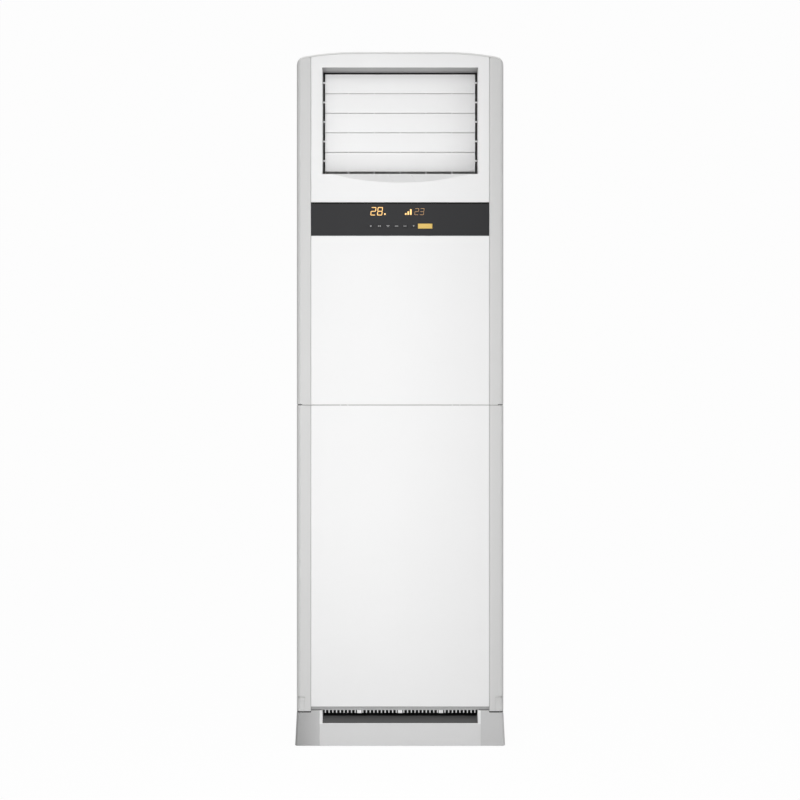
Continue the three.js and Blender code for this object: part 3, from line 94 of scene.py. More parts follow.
KEYS = numbered("key_") + ["power_key"]
VANES = numbered("vane_")
DEFLECTORS = numbered("deflector_")
STRIP_LOW, STRIP_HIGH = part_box("control_strip")
BACK_LOW, BACK_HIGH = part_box("back_panel")
FINS_LOW, FINS_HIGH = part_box("evaporator_fins")
FILTER_LOW, FILTER_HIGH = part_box("air_filter")
LOUVRE_WALL = 3 * MM            # thickness of the black frame round the vanes
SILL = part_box("louvre_frame")[0].z + LOUVRE_WALL
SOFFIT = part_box("louvre_frame")[1].z - LOUVRE_WALL
VANE_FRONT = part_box("vane_1")[0].y + 2 * MM             # just behind the closed vanes' faces
SLOT_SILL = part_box("intake_ramp")[1].z - 18 * MM        # lower edge of the intake slot


# ---------------------------------------------------------------------------------------------
# Settings
# ---------------------------------------------------------------------------------------------

def length(name, description, default, low=0.0, high=1.0):
    """A size in metres."""
    return bpy.props.FloatProperty(
        name=name, description=description, default=default, min=low, max=high,
        subtype="DISTANCE", unit="LENGTH", precision=4)


def colour(name, description, default):
    """A colour, given in linear values."""
    return bpy.props.FloatVectorProperty(
        name=name, description=description, default=default, min=0.0, max=1.0, size=3, subtype="COLOR")


class CabinetSettings(bpy.types.PropertyGroup):
    """The casing's edges and colours."""

    edge: length("Edge rounding", "Rounding of the mouldings' edges", 0.8 * MM, 0.0, 2 * MM)
    sheet_edge: length("Sheet rounding", "Rounding of the folded sheets' edges", 0.5 * MM, 0.0, 1 * MM)
    white: colour("White", "Colour of the front panels and the vanes", (0.87, 0.87, 0.87))
    pillar: colour("Pillar grey", "Colour of the corner pillars", (0.66, 0.66, 0.655))
    sheet: colour("Sheet colour", "Colour of the side, back and top sheets", (0.74, 0.74, 0.73))
    plate: colour("Plinth plate", "Colour of the plinth's middle plate", (0.71, 0.71, 0.71))
    cheek: colour("Plinth cheeks", "Colour of the plinth's ends", (0.60, 0.60, 0.60))
    # Painted highlight: the plinth round the intake slot is painted lighter where its edges catch the
    # light.
    slot_highlight: colour("Slot edge", "Colour of the plinth round the intake slot", (0.84, 0.84, 0.84))
    plate_half: length("Plate half width", "From the middle to the plate's end", 215 * MM)
    screw_head: length("Screw head", "Radius of the screws' heads", 4 * MM, 1 * MM, 8 * MM)
    screw_pitch: length(
        "Screw pitch", "Distance between the back panel's screws", 210 * MM, 50 * MM, 1.0)


class DisplaySettings(bpy.types.PropertyGroup):
    """What the control strip shows."""

    degrees: bpy.props.IntProperty(
        name="Degrees", description="Number that the left display shows", default=28, min=0, max=99)
    spare: bpy.props.IntProperty(
        name="Dim number", description="Number that the right display shows dimly",
        default=23, min=0, max=99)
    digit_height: length("Digit height", "Height of the lit digits", 22 * MM, 5 * MM, 40 * MM)
    stroke: length("Stroke", "Width of a digit's segment", 1.5 * MM, 1 * MM, 6 * MM)
    slant: bpy.props.FloatProperty(
        name="Slant", description="Lean of the digits", default=math.radians(6), subtype="ANGLE")
    lit: colour("Lit", "Colour of the lit segments", (0.95, 0.60, 0.22))
    dim: colour("Dim", "Colour of the dim segments", (0.46, 0.27, 0.12))
    key_light: colour("Lit key", "Colour of the lit key", (0.70, 0.47, 0.10))


class CoilSettings(bpy.types.PropertyGroup):
    """Fins and filter, inside the cabinet."""

    fin_pitch: length("Fin pitch", "Distance between the fins", 3.2 * MM, 1 * MM, 10 * MM)
    fin_wall: length("Fin wall", "Thickness of a fin", 0.3 * MM, 0.1 * MM, 1 * MM)
    fin_depth: length("Fin depth", "Depth of a fin", 44 * MM, 10 * MM, 0.1)
    fin_length: length("Fin length", "Length of a fin", 0.5205, 0.1, 0.6)
    lean: bpy.props.FloatProperty(
        name="Lean", description="Lean of the coil", default=math.radians(20), subtype="ANGLE")
    bends: bpy.props.IntProperty(
        name="Bends", description="Number of tube bends at each end", default=7, min=1, max=20)
    net_pitch: length("Net pitch", "Distance between the filter's strands", 5 * MM, 2 * MM, 20 * MM)
    net_strand: length("Net strand", "Thickness of a strand", 0.6 * MM, 0.2 * MM, 2 * MM)


class StageSettings(bpy.types.PropertyGroup):
    """Floor, lamps and camera."""

    floor: colour("Floor", "Colour of the floor and the backdrop", (0.9, 0.9, 0.9))
    distance: length("Camera distance", "From the camera to the front face", 4.35, 1.0, 20.0)
    eye: length("Camera height", "Height of the camera above the floor", 0.9224, 0.0, 3.0)
    view_width: length("View width", "Width of the view at the front face", 2.133, 0.5, 5.0)
    key_power: bpy.props.FloatProperty(
        name="Key power", description="Power of the tall lamp in front", default=9.6, subtype="POWER")
    fill_power: bpy.props.FloatProperty(
        name="Fill power", description="Power of the lamp on the right", default=15.0, subtype="POWER")
    top_power: bpy.props.FloatProperty(
        name="Top power", description="Power of the lamp above", default=14.0, subtype="POWER")
    sky: bpy.props.FloatProperty(
        name="Ambient level", description="Level of the light from all round", default=0.42)


SETTINGS = (
    ("aircon_cabinet", CabinetSettings), ("aircon_display", DisplaySettings),
    ("aircon_coil", CoilSettings), ("aircon_stage", StageSettings),
)


# ---------------------------------------------------------------------------------------------
# Materials
# ---------------------------------------------------------------------------------------------

BLACK = (0.012, 0.012, 0.012)
SOFFIT_ROOM = 0.6 * MM          # how far under the soffit its shade begins


class Finish:
    """A material under construction: a principled shader and the nodes that feed it."""

    def __init__(self, name, base, roughness, metallic=0.0, specular=0.5):
        self.material = bpy.data.materials.new(name)
        self.material.use_nodes = True
        self.tree = self.material.node_tree
        self.shader = self.tree.nodes["Principled BSDF"]
        self.base = (*base, 1.0)
        self.material.diffuse_color = self.base
        values = {"Base Color": self.base, "Roughness": roughness, "Metallic": metallic,
                  "Specular IOR Level": specular}
        for socket, value in values.items():
            self.shader.inputs[socket].default_value = value
        self.roughness = roughness
        self.where = self.node("ShaderNodeTexCoord").outputs["Object"]

    def node(self, kind, **values):
        """Adds a node and sets its properties."""
        made = self.tree.nodes.new(kind)
        for key, value in values.items():
            setattr(made, key, value)
        return made

    def link(self, source, target):
        """Joins two sockets."""
        self.tree.links.new(source, target)

    def noise(self, scale, detail=2.0, stretch=None):
        """A noise value in object space, stretched along an axis where asked."""
        made = self.node("ShaderNodeTexNoise")
        made.inputs["Scale"].default_value = scale
        made.inputs["Detail"].default_value = detail
        if stretch:
            mapping = self.node("ShaderNodeMapping")
            mapping.inputs["Scale"].default_value = stretch
            self.link(self.where, mapping.inputs["Vector"])
            self.link(mapping.outputs["Vector"], made.inputs["Vector"])
        else:
            self.link(self.where, made.inputs["Vector"])
        return made.outputs["Fac"]

    def span(self, value, low, high, start=0.0, end=1.0):
        """Maps a value from one range to another."""
        made = self.node("ShaderNodeMapRange")
        self.link(value, made.inputs["Value"])
        limits = {"From Min": start, "From Max": end, "To Min": low, "To Max": high}
        for socket, number in limits.items():
            made.inputs[socket].default_value = number
        return made.outputs["Result"]

    def mix(self, factor, first, second):
        """Mixes two colours, each a tuple or a socket."""
        made = self.node("ShaderNodeMix", data_type="RGBA")
        self.link(factor, made.inputs["Factor"])
        for socket, value in ((made.inputs["A"], first), (made.inputs["B"], second)):
            if isinstance(value, tuple):
                socket.default_value = value
            else:
                self.link(value, socket)
        return made.outputs["Result"]

    def place(self, axis):
        """An object coordinate."""
        made = self.node("ShaderNodeSeparateXYZ")
        self.link(self.where, made.inputs["Vector"])
        return made.outputs[axis]

    def both(self, *factors):
        """The product of several factors."""
        product = factors[0]
        for factor in factors[1:]:
            made = self.node("ShaderNodeMath", operation="MULTIPLY")
            self.link(product, made.inputs[0])
            self.link(factor, made.inputs[1])
            product = made.outputs["Value"]
        return product

    def past(self, value, limit, above=True, blur=0.3 * MM):
        """One where a value is above a limit, or below it, and else nought."""
        low, high = (0.0, 1.0) if above else (1.0, 0.0)
        return self.span(value, low, high, limit - blur, limit + blur)

    def recolour(self, factor, tone):
        """Lays another colour over the base colour where a factor is one."""
        socket = self.shader.inputs["Base Color"]
        under = socket.links[0].from_socket if socket.is_linked else tuple(socket.default_value)
        self.link(self.mix(factor, under, (*tone, 1.0)), socket)

    def tint(self, factor):
        """The base colour, brighter or darker by a factor."""
        return tuple(min(1.0, c * factor) for c in self.base[:3]) + (1.0,)

    def mottle(self, scale, amount):
        """Lets the colour vary a little in soft patches."""
        result = self.mix(self.noise(scale), self.tint(1 - amount), self.tint(1 + amount))
        self.link(result, self.shader.inputs["Base Color"])

    def wear(self, scale, amount, stretch=None):
        """Lets the roughness vary."""
        low, high = self.roughness - amount, self.roughness + amount
        value = self.span(self.noise(scale, 3.0, stretch), low, high)
        self.link(value, self.shader.inputs["Roughness"])

    def relief(self, height, strength, distance=0.0002):
        """Turns a height into small bumps."""
        bump = self.node("ShaderNodeBump")
        bump.inputs["Strength"].default_value = strength
        bump.inputs["Distance"].default_value = distance
        self.link(height, bump.inputs["Height"])
        self.link(bump.outputs["Normal"], self.shader.inputs["Normal"])

    def glow(self, tone, strength):
        """Makes the surface give off light."""
        self.shader.inputs["Emission Color"].default_value = (*tone, 1.0)
        self.shader.inputs["Emission Strength"].default_value = strength


def moulded(name, base, roughness, grain, strength):
    """Injection moulded plastic: a fine even grain and faint flow marks."""
    made = Finish(name, base, roughness)
    made.mottle(3.0, 0.012)
    made.wear(14.0, 0.05)
    made.relief(made.noise(grain, 1.0), strength)
    return made


def brushed(name, base, roughness, axis):
    """Metal with drawing marks along one axis."""
    made = Finish(name, base, roughness, metallic=1.0)
    stretch = tuple(1.0 if i == axis else 60.0 for i in range(3))
    made.wear(18.0, 0.1, stretch)
    made.relief(made.noise(25.0, 3.0, stretch), 0.12, 0.0001)
    made.mottle(5.0, 0.06)
    return made


def galvanised(name, base):
    """Zinc coated sheet with its pattern of crystals."""
    made = Finish(name, base, 0.42, metallic=0.85)
    cells = made.node("ShaderNodeTexVoronoi")
    cells.inputs["Scale"].default_value = 90.0
    made.link(made.where, cells.inputs["Vector"])
    level = made.node("ShaderNodeSeparateColor")
    made.link(cells.outputs["Color"], level.inputs["Color"])
    crystals = made.mix(level.outputs["Red"], made.tint(0.86), made.tint(1.1))
    made.link(crystals, made.shader.inputs["Base Color"])
    made.link(made.span(level.outputs["Green"], 0.32, 0.52), made.shader.inputs["Roughness"])
    made.relief(made.noise(400.0, 1.0), 0.08, 0.0001)
    return made


def powder_coat(name, base):
    """Painted sheet with an orange peel surface."""
    made = Finish(name, base, 0.48)
    made.mottle(2.5, 0.012)
    made.wear(30.0, 0.06)
    made.relief(made.noise(520.0, 2.0), 0.16)
    return made


def closed_foam(name, base):
    """Moulded bead foam: small round cells."""
    made = Finish(name, base, 0.9, specular=0.2)
    cells = made.node("ShaderNodeTexVoronoi", feature="SMOOTH_F1")
    cells.inputs["Scale"].default_value = 260.0
    made.link(made.where, cells.inputs["Vector"])
    made.mottle(40.0, 0.03)
    made.relief(cells.outputs["Distance"], 0.5, 0.0006)
    return made


def circuit(name, base):
    """Solder mask with tracks under it and tinned pads."""
    made = Finish(name, base, 0.35)
    tracks = made.node("ShaderNodeTexBrick")
    layout = {"Scale": 90.0, "Mortar Size": 0.06, "Brick Width": 1.7, "Row Height": 0.35}
    for socket, value in layout.items():
        tracks.inputs[socket].default_value = value
    tracks.inputs["Color1"].default_value = made.tint(0.9)
    tracks.inputs["Color2"].default_value = made.tint(1.15)
    tracks.inputs["Mortar"].default_value = made.tint(1.7)
    turn = made.node("ShaderNodeMapping")
    turn.inputs["Rotation"].default_value = (math.pi / 2, 0, 0)
    made.link(made.where, turn.inputs["Vector"])
    made.link(turn.outputs["Vector"], tracks.inputs["Vector"])
    made.link(tracks.outputs["Color"], made.shader.inputs["Base Color"])
    made.relief(tracks.outputs["Fac"], 0.2, 0.00005)
    return made


def plinth_paint(settings):
    """Grey paint, lighter on the middle plate, with a painted highlight round the intake slot and
    painted shade that darkens the left cheek outwards.
    """
    made = Finish("plinth_paint", tuple(settings.plate), 0.5)
    across, depth, height = made.place("X"), made.place("Y"), made.place("Z")
    away = made.node("ShaderNodeMath", operation="ABSOLUTE")
    made.link(across, away.inputs[0])
    # Painted shade: the left cheek is painted darker towards its outer end.
    painted_shade_end, painted_shade_start = -285 * MM, -200 * MM       # the left cheek darkens outwards
    painted_shade_tone = tuple(0.58 * c for c in settings.cheek) + (1.0,)
    shading = made.span(across, 0.0, 1.0, painted_shade_end, painted_shade_start)
    cheek = made.mix(shading, painted_shade_tone, (*settings.cheek, 1.0))
    made.mottle(3.0, 0.015)
    plate = made.shader.inputs["Base Color"].links[0].from_socket
    middle = made.both(made.past(away.outputs["Value"], settings.plate_half, False),
                       made.past(depth, 0.0, False))
    made.link(made.mix(middle, cheek, plate), made.shader.inputs["Base Color"])
    # Painted highlight: the plate's top edge and the slot's sides are painted lighter.
    made.recolour(made.both(middle, made.past(height, SLOT_SILL - 2 * MM)), settings.slot_highlight)
    made.wear(20.0, 0.05)
    made.relief(made.noise(600.0, 2.0), 0.14)
    return made


def smoked_lens():
    """Dark plastic with a painted shadow: a black line along its upper edge, under the surround."""
    # Painted shadow: rim is the height of the black band painted along the top edge.
    rim = 3.6 * MM
    made = Finish("dark_lens", (0.036, 0.036, 0.038), 0.42, specular=0.1)
    made.mottle(4.0, 0.03)
    # Painted shadow: near black along the top, where the surround's edge shades the strip.
    made.recolour(made.past(made.place("Z"), STRIP_HIGH.z - rim), (0.004, 0.004, 0.004))
    return made


def surround_plastic(white):
    """White plastic, with painted shade: darker on the soffit in front of the vanes."""
    made = moulded("white_surround", white, 0.38, 900.0, 0.05)
    depth, height = made.place("Y"), made.place("Z")
    # Painted shade on the soffit, which faces down in front of the vanes.
    soffit = made.both(
        made.past(height, SOFFIT - SOFFIT_ROOM), made.past(height, SOFFIT + 1.5 * MM, False),
        made.past(depth, STRIP_LOW.y))
    made.recolour(soffit, (0.36, 0.36, 0.36))
    return made


def louvre_plastic():
    """Black plastic, painted grey on the frame's ceiling in front of the vanes, to carry on the
    soffit's painted shade.
    """
    made = moulded("black_frame", BLACK, 0.55, 1400.0, 0.2)
    depth, height = made.place("Y"), made.place("Z")
    # Painted shade: the ceiling in front of the vanes gets the grey of the shaded soffit.
    ceiling = made.both(made.past(height, SOFFIT - SOFFIT_ROOM), made.past(depth, VANE_FRONT, False))
    made.recolour(ceiling, (0.3, 0.3, 0.3))
    return made


def ramp_plastic():
    """Grey plastic, with painted shade: black where the ramp runs up into the dark."""
    painted_shade_rise = 13.5 * MM
    made = moulded("ramp_grey", (0.15, 0.15, 0.15), 0.6, 1200.0, 0.2)
    # Painted shade: the ramp is painted black above this rise, where it runs into the dark.
    made.recolour(made.past(made.place("Z"), SLOT_SILL + painted_shade_rise), (0.006, 0.006, 0.006))
    return made


def glowing(name, tone, strength, roughness=0.5, scale=200.0, amount=0.06):
    """Plastic that is lit from within."""
    made = Finish(name, tuple(tone), roughness)
    made.mottle(scale, amount)
    made.glow(tuple(tone), strength)
    return made


def make_finishes():
    """Every material of the object, by name."""
    cabinet = bpy.context.scene.aircon_cabinet
    display = bpy.context.scene.aircon_display
    white = tuple(cabinet.white)
    pale = (0.8, 0.8, 0.8)
    vane = moulded("white_vane", white, 0.36, 900.0, 0.04)
    # Painted light: the vanes glow faintly, though they are no lamp.
    vane.glow(white, 0.06)
    deflector = moulded("pale_deflector", pale, 0.5, 1200.0, 0.1)
    # Painted light: the deflectors glow, though they are no lamp.
    deflector.glow(pale, 0.2)
    ink = Finish("key_print", (0.36, 0.36, 0.36), 0.6)
    ink.mottle(300.0, 0.08)
    made = {
        "white_moulding": moulded("white_moulding", white, 0.38, 900.0, 0.05),
        "grey_moulding": moulded("grey_moulding", tuple(cabinet.pillar), 0.5, 1400.0, 0.14),
        "plinth_grey": plinth_paint(cabinet),
        "dark_strip": smoked_lens(),
        "black_plastic": moulded("black_plastic", BLACK, 0.55, 1400.0, 0.2),
        "steel": galvanised("galvanised_steel", (0.56, 0.57, 0.58)),
        "painted_sheet": powder_coat("painted_sheet", tuple(cabinet.sheet)),
        "copper": brushed("drawn_copper", (0.66, 0.32, 0.19), 0.34, 2),
        "aluminium": brushed("fin_aluminium", (0.75, 0.77, 0.79), 0.38, 2),
        "foam": closed_foam("bead_foam", (0.8, 0.8, 0.79)),
        "board": circuit("circuit_board", (0.03, 0.12, 0.05)),
        "amber": glowing("lamp_amber", display.key_light, 0.08, 0.35, 60.0, 0.05),
        "segment_lit": glowing("segment_lit", display.lit, 0.7),
        # Painted glow: dark orange light round the lit digits.
        "segment_halo": glowing("segment_halo", (0.22, 0.10, 0.02), 0.3),
        "segment_dim": glowing("segment_dim", display.dim, 0.35),
        "key_print": ink,
        "white_vane": vane,
        "pale_deflector": deflector,
        # Painted shade: a near black sheet for the fan bulkhead and the base pan, so that the inside
        # seen through the intake slot stays dark.
        "dark_sheet": powder_coat("dark_sheet", (0.03, 0.03, 0.03)),
        "ramp_grey": ramp_plastic(),
        "white_surround": surround_plastic(white),
        "black_frame": louvre_plastic(),
        "rail_grey": moulded("rail_grey", (0.44, 0.44, 0.44), 0.55, 1200.0, 0.14),
        "screw_zinc": brushed("screw_zinc", (0.62, 0.63, 0.64), 0.36, 1),
    }
    return {name: finish.material for name, finish in made.items()}


FINISHES = {}


# ---------------------------------------------------------------------------------------------
# Meshes
# ---------------------------------------------------------------------------------------------

def piece(name, mesh, body, slot, finish, *replaced):
    """Finishes a mesh as a piece that rides on a body and may stand for CAD nodes."""
    mesh.materials.clear()
    mesh.materials.append(FINISHES[finish])
    made = bpy.data.objects.new(name, mesh)
    bpy.context.scene.collection.objects.link(made)
    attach(made, body)
    if replaced:
        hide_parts(*replaced)
    return made


def shade(mesh, angle=35.0):
    """Smooth shading that keeps edges sharper than an angle."""
    mesh.shade_smooth()
    mesh.set_sharp_from_angle(angle=math.radians(angle))


def flatten(mesh):
    """A copy whose large faces stay flat up to their rounded edges."""
    carrier = bpy.data.objects.new(mesh.name, mesh)
    bpy.context.scene.collection.objects.link(carrier)
    modifier = carrier.modifiers.new("Normals", "WEIGHTED_NORMAL")
    modifier.weight = 90
    modifier.keep_sharp = True
    evaluated = carrier.evaluated_get(bpy.context.evaluated_depsgraph_get())
    flat = bpy.data.meshes.new_from_object(evaluated)
    bpy.data.objects.remove(carrier)
    bpy.data.meshes.remove(mesh)
    return flat


def soften(node, width, steps=2, angle=30.0, finish=None, reshape=None):
    """Stands for a CAD node with the same shape, its sharp edges rounded."""
    weld, level = 0.005 * MM, math.radians(0.4)
    mesh = frame["nodes"][node].data.copy()
    work = bmesh.new()
    work.from_mesh(mesh)
    if reshape:
        reshape(work)
    bmesh.ops.remove_doubles(work, verts=work.verts, dist=weld)
    bmesh.ops.dissolve_limit(work, angle_limit=level, verts=work.verts, edges=work.edges)
    limit = math.radians(angle)
    sharp = [e for e in work.edges if len(e.link_faces) == 2 and e.calc_face_angle(0.0) > limit]
    bmesh.ops.bevel(work, geom=sharp, offset=width, offset_type="OFFSET", segments=steps, profile=0.5,
                    affect="EDGES", clamp_overlap=True)
    bmesh.ops.recalc_face_normals(work, faces=work.faces)
    work.to_mesh(mesh)
    work.free()
    shade(mesh, 60.0)
    flat = flatten(mesh)
    flat.name = f"{node}_moulding"
    slot = SLOT_OF[node]
    return piece(flat.name, flat, BODY_OF[node], slot, finish or slot, node)


def from_bmesh(name, work):
    """A mesh from a bmesh, with its faces turned outwards."""
    bmesh.ops.recalc_face_normals(work, faces=work.faces)
    mesh = bpy.data.meshes.new(name)
    work.to_mesh(mesh)
    work.free()
    return mesh


def extrude_outline(work, outline, front, back):
    """A flat outline in (x, z), pushed from y = front to y = back."""
    near = [work.verts.new((x, front, z)) for x, z in outline]
    far = [work.verts.new((x, back, z)) for x, z in outline]
    count = len(outline)
    work.faces.new(near)
    work.faces.new(far[::-1])
    for i in range(count):
        j = (i + 1) % count
        work.faces.new((near[j], near[i], far[i], far[j]))


class Pattern:
    """Geometry nodes with named inputs, used once and then turned into a mesh."""

    def __init__(self, name, **sizes):
        self.tree = bpy.data.node_groups.new(name, "GeometryNodeTree")
        face = self.tree.interface
        face.new_socket("Geometry", in_out="OUTPUT", socket_type="NodeSocketGeometry")
        self.sizes = sizes
        self.sockets = {}
        kinds = {int: "NodeSocketInt", float: "NodeSocketFloat"}
        for label, value in sizes.items():
            kind = kinds.get(type(value), "NodeSocketVector")
            self.sockets[label] = face.new_socket(label, in_out="INPUT", socket_type=kind)
        self.inputs = self.node("NodeGroupInput")
        self.output = self.node("NodeGroupOutput")

    def feed(self, target, value):
        """Sets an input from a socket or a number, or leaves it as it is."""
        if isinstance(value, bpy.types.NodeSocket):
            self.tree.links.new(value, target)
        elif value is not None:
            target.default_value = value

    def node(self, kind, **values):
        """Adds a node; capitalised names set its inputs, from a number or from a socket."""
        made = self.tree.nodes.new(kind)
        for key, value in values.items():
            if key[0].isupper():
                self.feed(made.inputs[key.replace("_", " ")], value)
            else:
                setattr(made, key, value)
        return made

    def size(self, label):
        """The output socket of a named size."""
        return self.inputs.outputs[label]

    def math(self, operation, first, second=0.0):
        """What an operation makes of two values, each a number or a socket."""
        made = self.node("ShaderNodeMath", operation=operation)
        for target, value in zip(made.inputs, (first, second)):
            self.feed(target, value)
        return made.outputs["Value"]

    def vector(self, x=0.0, y=0.0, z=0.0):
        """A vector from three values."""
        return self.node("ShaderNodeCombineXYZ", X=x, Y=y, Z=z).outputs["Vector"]

    def joined(self, *geometries):
        """Several geometries as one."""
        made = self.node("GeometryNodeJoinGeometry")
        for geometry in geometries:
            self.tree.links.new(geometry, made.inputs["Geometry"])
        return made.outputs["Geometry"]

    def placed(self, geometry, translation=None, rotation=None):
        """A geometry that is moved and turned."""
        made = self.node(
            "GeometryNodeTransform", Geometry=geometry, Translation=translation, Rotation=rotation)
        return made.outputs["Geometry"]

    def row(self, geometry, count, start, step):
        """A geometry repeated along a line of points."""
        line = self.node(
            "GeometryNodeMeshLine", mode="OFFSET", Count=count, Start_Location=start, Offset=step)
        made = self.node(
            "GeometryNodeInstanceOnPoints", Points=line.outputs["Mesh"], Instance=geometry)
        return made.outputs["Instances"]

    def mesh(self, geometry, finish):
        """Runs the tree and returns its result as a plain mesh."""
        real = self.node("GeometryNodeRealizeInstances", Geometry=geometry)
        coat = self.node("GeometryNodeSetMaterial", Geometry=real.outputs["Geometry"])
        coat.inputs["Material"].default_value = FINISHES[finish]
        self.tree.links.new(coat.outputs["Geometry"], self.output.inputs["Geometry"])
        carrier = bpy.data.objects.new(self.tree.name, bpy.data.meshes.new(self.tree.name))
        bpy.context.scene.collection.objects.link(carrier)
        modifier = carrier.modifiers.new("Pattern", "NODES")
        modifier.node_group = self.tree
        for label, value in self.sizes.items():
            modifier[self.sockets[label].identifier] = value
        evaluated = carrier.evaluated_get(bpy.context.evaluated_depsgraph_get())
        mesh = bpy.data.meshes.new_from_object(evaluated)
        carrier.modifiers.remove(modifier)
        bpy.data.objects.remove(carrier)
        bpy.data.node_groups.remove(self.tree)
        return mesh


# ---------------------------------------------------------------------------------------------
# The cabinet
# ---------------------------------------------------------------------------------------------

class AIRCON_OT_finishes(bpy.types.Operator):
    """Make the materials and give every CAD node its own."""

    bl_idname = "aircon.finishes"
    bl_label = "Finishes"

    def execute(self, context):
        FINISHES.update(make_finishes())
        # Painted shade: the fan bulkhead and the base pan take the near black sheet.
        special = {
            "louvre_frame": "black_frame", "fan_bulkhead": "dark_sheet", "base_pan": "dark_sheet"}
        for node, made in frame["nodes"].items():
            for slot in made.material_slots:
                slot.material = FINISHES[special.get(node, SLOT_OF[node])]
        return {"FINISHED"}


def raise_sill(work):
    """Gives the outlet's level sill a slight rise towards the vanes."""
    slope = math.tan(math.radians(8.0))
    face = STRIP_LOW.y - 1.5 * MM
    near = 0.1 * MM
    for vert in work.verts:
        if abs(vert.co.z - SILL) < near:
            vert.co.z += slope * (vert.co.y - face)


class AIRCON_OT_mouldings(bpy.types.Operator):
    """Round the edges of the plastic mouldings: panels, pillars, surround, strip, rails and catches."""

    bl_idname = "aircon.mouldings"
    bl_label = "Mouldings"

    def execute(self, context):
        edge = context.scene.aircon_cabinet.edge
        for node in ("upper_front_panel", "door_panel", "upper_right_pillar", "upper_left_pillar",
                     "door_right_pillar", "door_left_pillar"):
            soften(node, edge)
        soften("outlet_surround", edge, finish="white_surround", reshape=raise_sill)
        for node in ("right_catch", "left_catch", "door_top_rail"):
            soften(node, 0.6 * edge)
        soften("door_bottom_rail", 0.6 * edge, finish="rail_grey")
        soften("control_strip", 0.3 * edge, steps=1)
        soften("intake_comb", 0.4 * edge, steps=1)
        soften("intake_ramp", 0.4 * edge, steps=1, finish="ramp_grey")
        return {"FINISHED"}


class AIRCON_OT_seal(bpy.types.Operator):
    """Glue a pale strip under the upper panel, over the door's edge."""

    bl_idname = "aircon.seal"
    bl_label = "Door seal"

    def execute(self, context):
        thickness, front, back = 1.5 * MM, 1.2 * MM, 9 * MM
        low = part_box("upper_front_panel")[0]
        half = BACK_HIGH.x
        work = bmesh.new()
        outline = block(-half, half, low.z - thickness, low.z)
        extrude_outline(work, outline, low.y + front, low.y + back)
        strip = piece("door_seal", from_bmesh("door_seal", work), "base", "foam", "foam")
        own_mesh(strip)
        return {"FINISHED"}


class AIRCON_OT_sheets(bpy.types.Operator):
    """Round the edges of the sheet parts: cover, sides, back and plinth."""

    bl_idname = "aircon.sheets"
    bl_label = "Sheet casing"

    def execute(self, context):
        edge = context.scene.aircon_cabinet.sheet_edge
        for node in ("top_cover", "right_side_panel", "left_side_panel", "back_panel"):
            soften(node, edge)
        soften("plinth", 1.4 * edge)
        return {"FINISHED"}


class AIRCON_OT_vanes(bpy.types.Operator):
    """Round the edges of the vanes and the deflectors."""

    bl_idname = "aircon.vanes"
    bl_label = "Vanes and deflectors"

    def execute(self, context):
        edge = context.scene.aircon_cabinet.edge
        for node in VANES:
            soften(node, 0.35 * edge, angle=50.0, finish="white_vane")
        for node in DEFLECTORS:
            soften(node, 0.4 * edge, angle=50.0, finish="pale_deflector")
        return {"FINISHED"}


class AIRCON_OT_screws(bpy.types.Operator):
    """Drive flanged hexagon screws along the edges of the back panel."""

    bl_idname = "aircon.screws"
    bl_label = "Back screws"

    def execute(self, context):
        cabinet = context.scene.aircon_cabinet
        radius = cabinet.screw_head
        inset, foot, crown = 9 * MM, 40 * MM, 80 * MM
        rise = BACK_HIGH.z - BACK_LOW.z - foot - crown
        count = int(rise / cabinet.screw_pitch) + 1
        pattern = Pattern(
            "back_screws", Head=radius, Flange=1.35 * radius, Height=0.75 * radius, Count=count,
            Start=(BACK_HIGH.x - inset, BACK_HIGH.y, BACK_LOW.z + foot),
            Step=(0.0, 0.0, rise / (count - 1)))
        flange = pattern.node("GeometryNodeMeshCylinder", Vertices=18, Radius=pattern.size("Flange"),
                              Depth=pattern.math("MULTIPLY", pattern.size("Height"), 0.4))
        head = pattern.node("GeometryNodeMeshCylinder", Vertices=6, Radius=pattern.size("Head"),
                            Depth=pattern.size("Height"))
        lift = pattern.vector(z=pattern.math("MULTIPLY", pattern.size("Height"), 0.5))
        screw = pattern.placed(
            pattern.joined(flange.outputs["Mesh"], pattern.placed(head.outputs["Mesh"], lift)),
            rotation=(-math.pi / 2, 0.0, 0.0))
        right = pattern.row(screw, pattern.size("Count"), pattern.size("Start"), pattern.size("Step"))
        across = pattern.vector(x=-2 * (BACK_HIGH.x - inset))
        mesh = pattern.mesh(pattern.joined(right, pattern.placed(right, across)), "screw_zinc")
        shade(mesh)
        piece("back_screws", mesh, "base", "steel", "screw_zinc")
        return {"FINISHED"}


# ---------------------------------------------------------------------------------------------
# Display and keys
# ---------------------------------------------------------------------------------------------

# Lit segments of the digits 0 to 9, in the order top, upper left, upper right, middle,
# lower left, lower right, bottom.
SEGMENTS = ("1110111", "0010010", "1011101", "1011011", "0111010", "1101011", "1101111", "1010010",
            "1111111", "1111011")


def bar_outline(x, z, half_length, half_width, upright):
    """A six-sided bar with pointed ends."""
    tip = half_length
    body = half_length - half_width
    points = ((-tip, 0), (-body, -half_width), (body, -half_width), (tip, 0), (body, half_width),
              (-body, half_width))
    return [(x + (v if upright else u), z + (u if upright else v)) for u, v in points]


def digit_outlines(digit, x, z, height, stroke):
    """The lit bars of one digit, whose middle is at (x, z)."""
    half = height / 4 - 0.12 * stroke       # half an upright bar's length
    side = 0.27 * height                    # half a level bar's, and how far out the uprights are
    bars = (
        (x, z + height / 2 - stroke / 2, False), (x - side, z + height / 4, True),
        (x + side, z + height / 4, True), (x, z, False), (x - side, z - height / 4, True),
        (x + side, z - height / 4, True), (x, z - height / 2 + stroke / 2, False))
    return [bar_outline(u, v, side if not up else half, stroke / 2, up)
            for (u, v, up), on in zip(bars, SEGMENTS[digit]) if on == "1"]


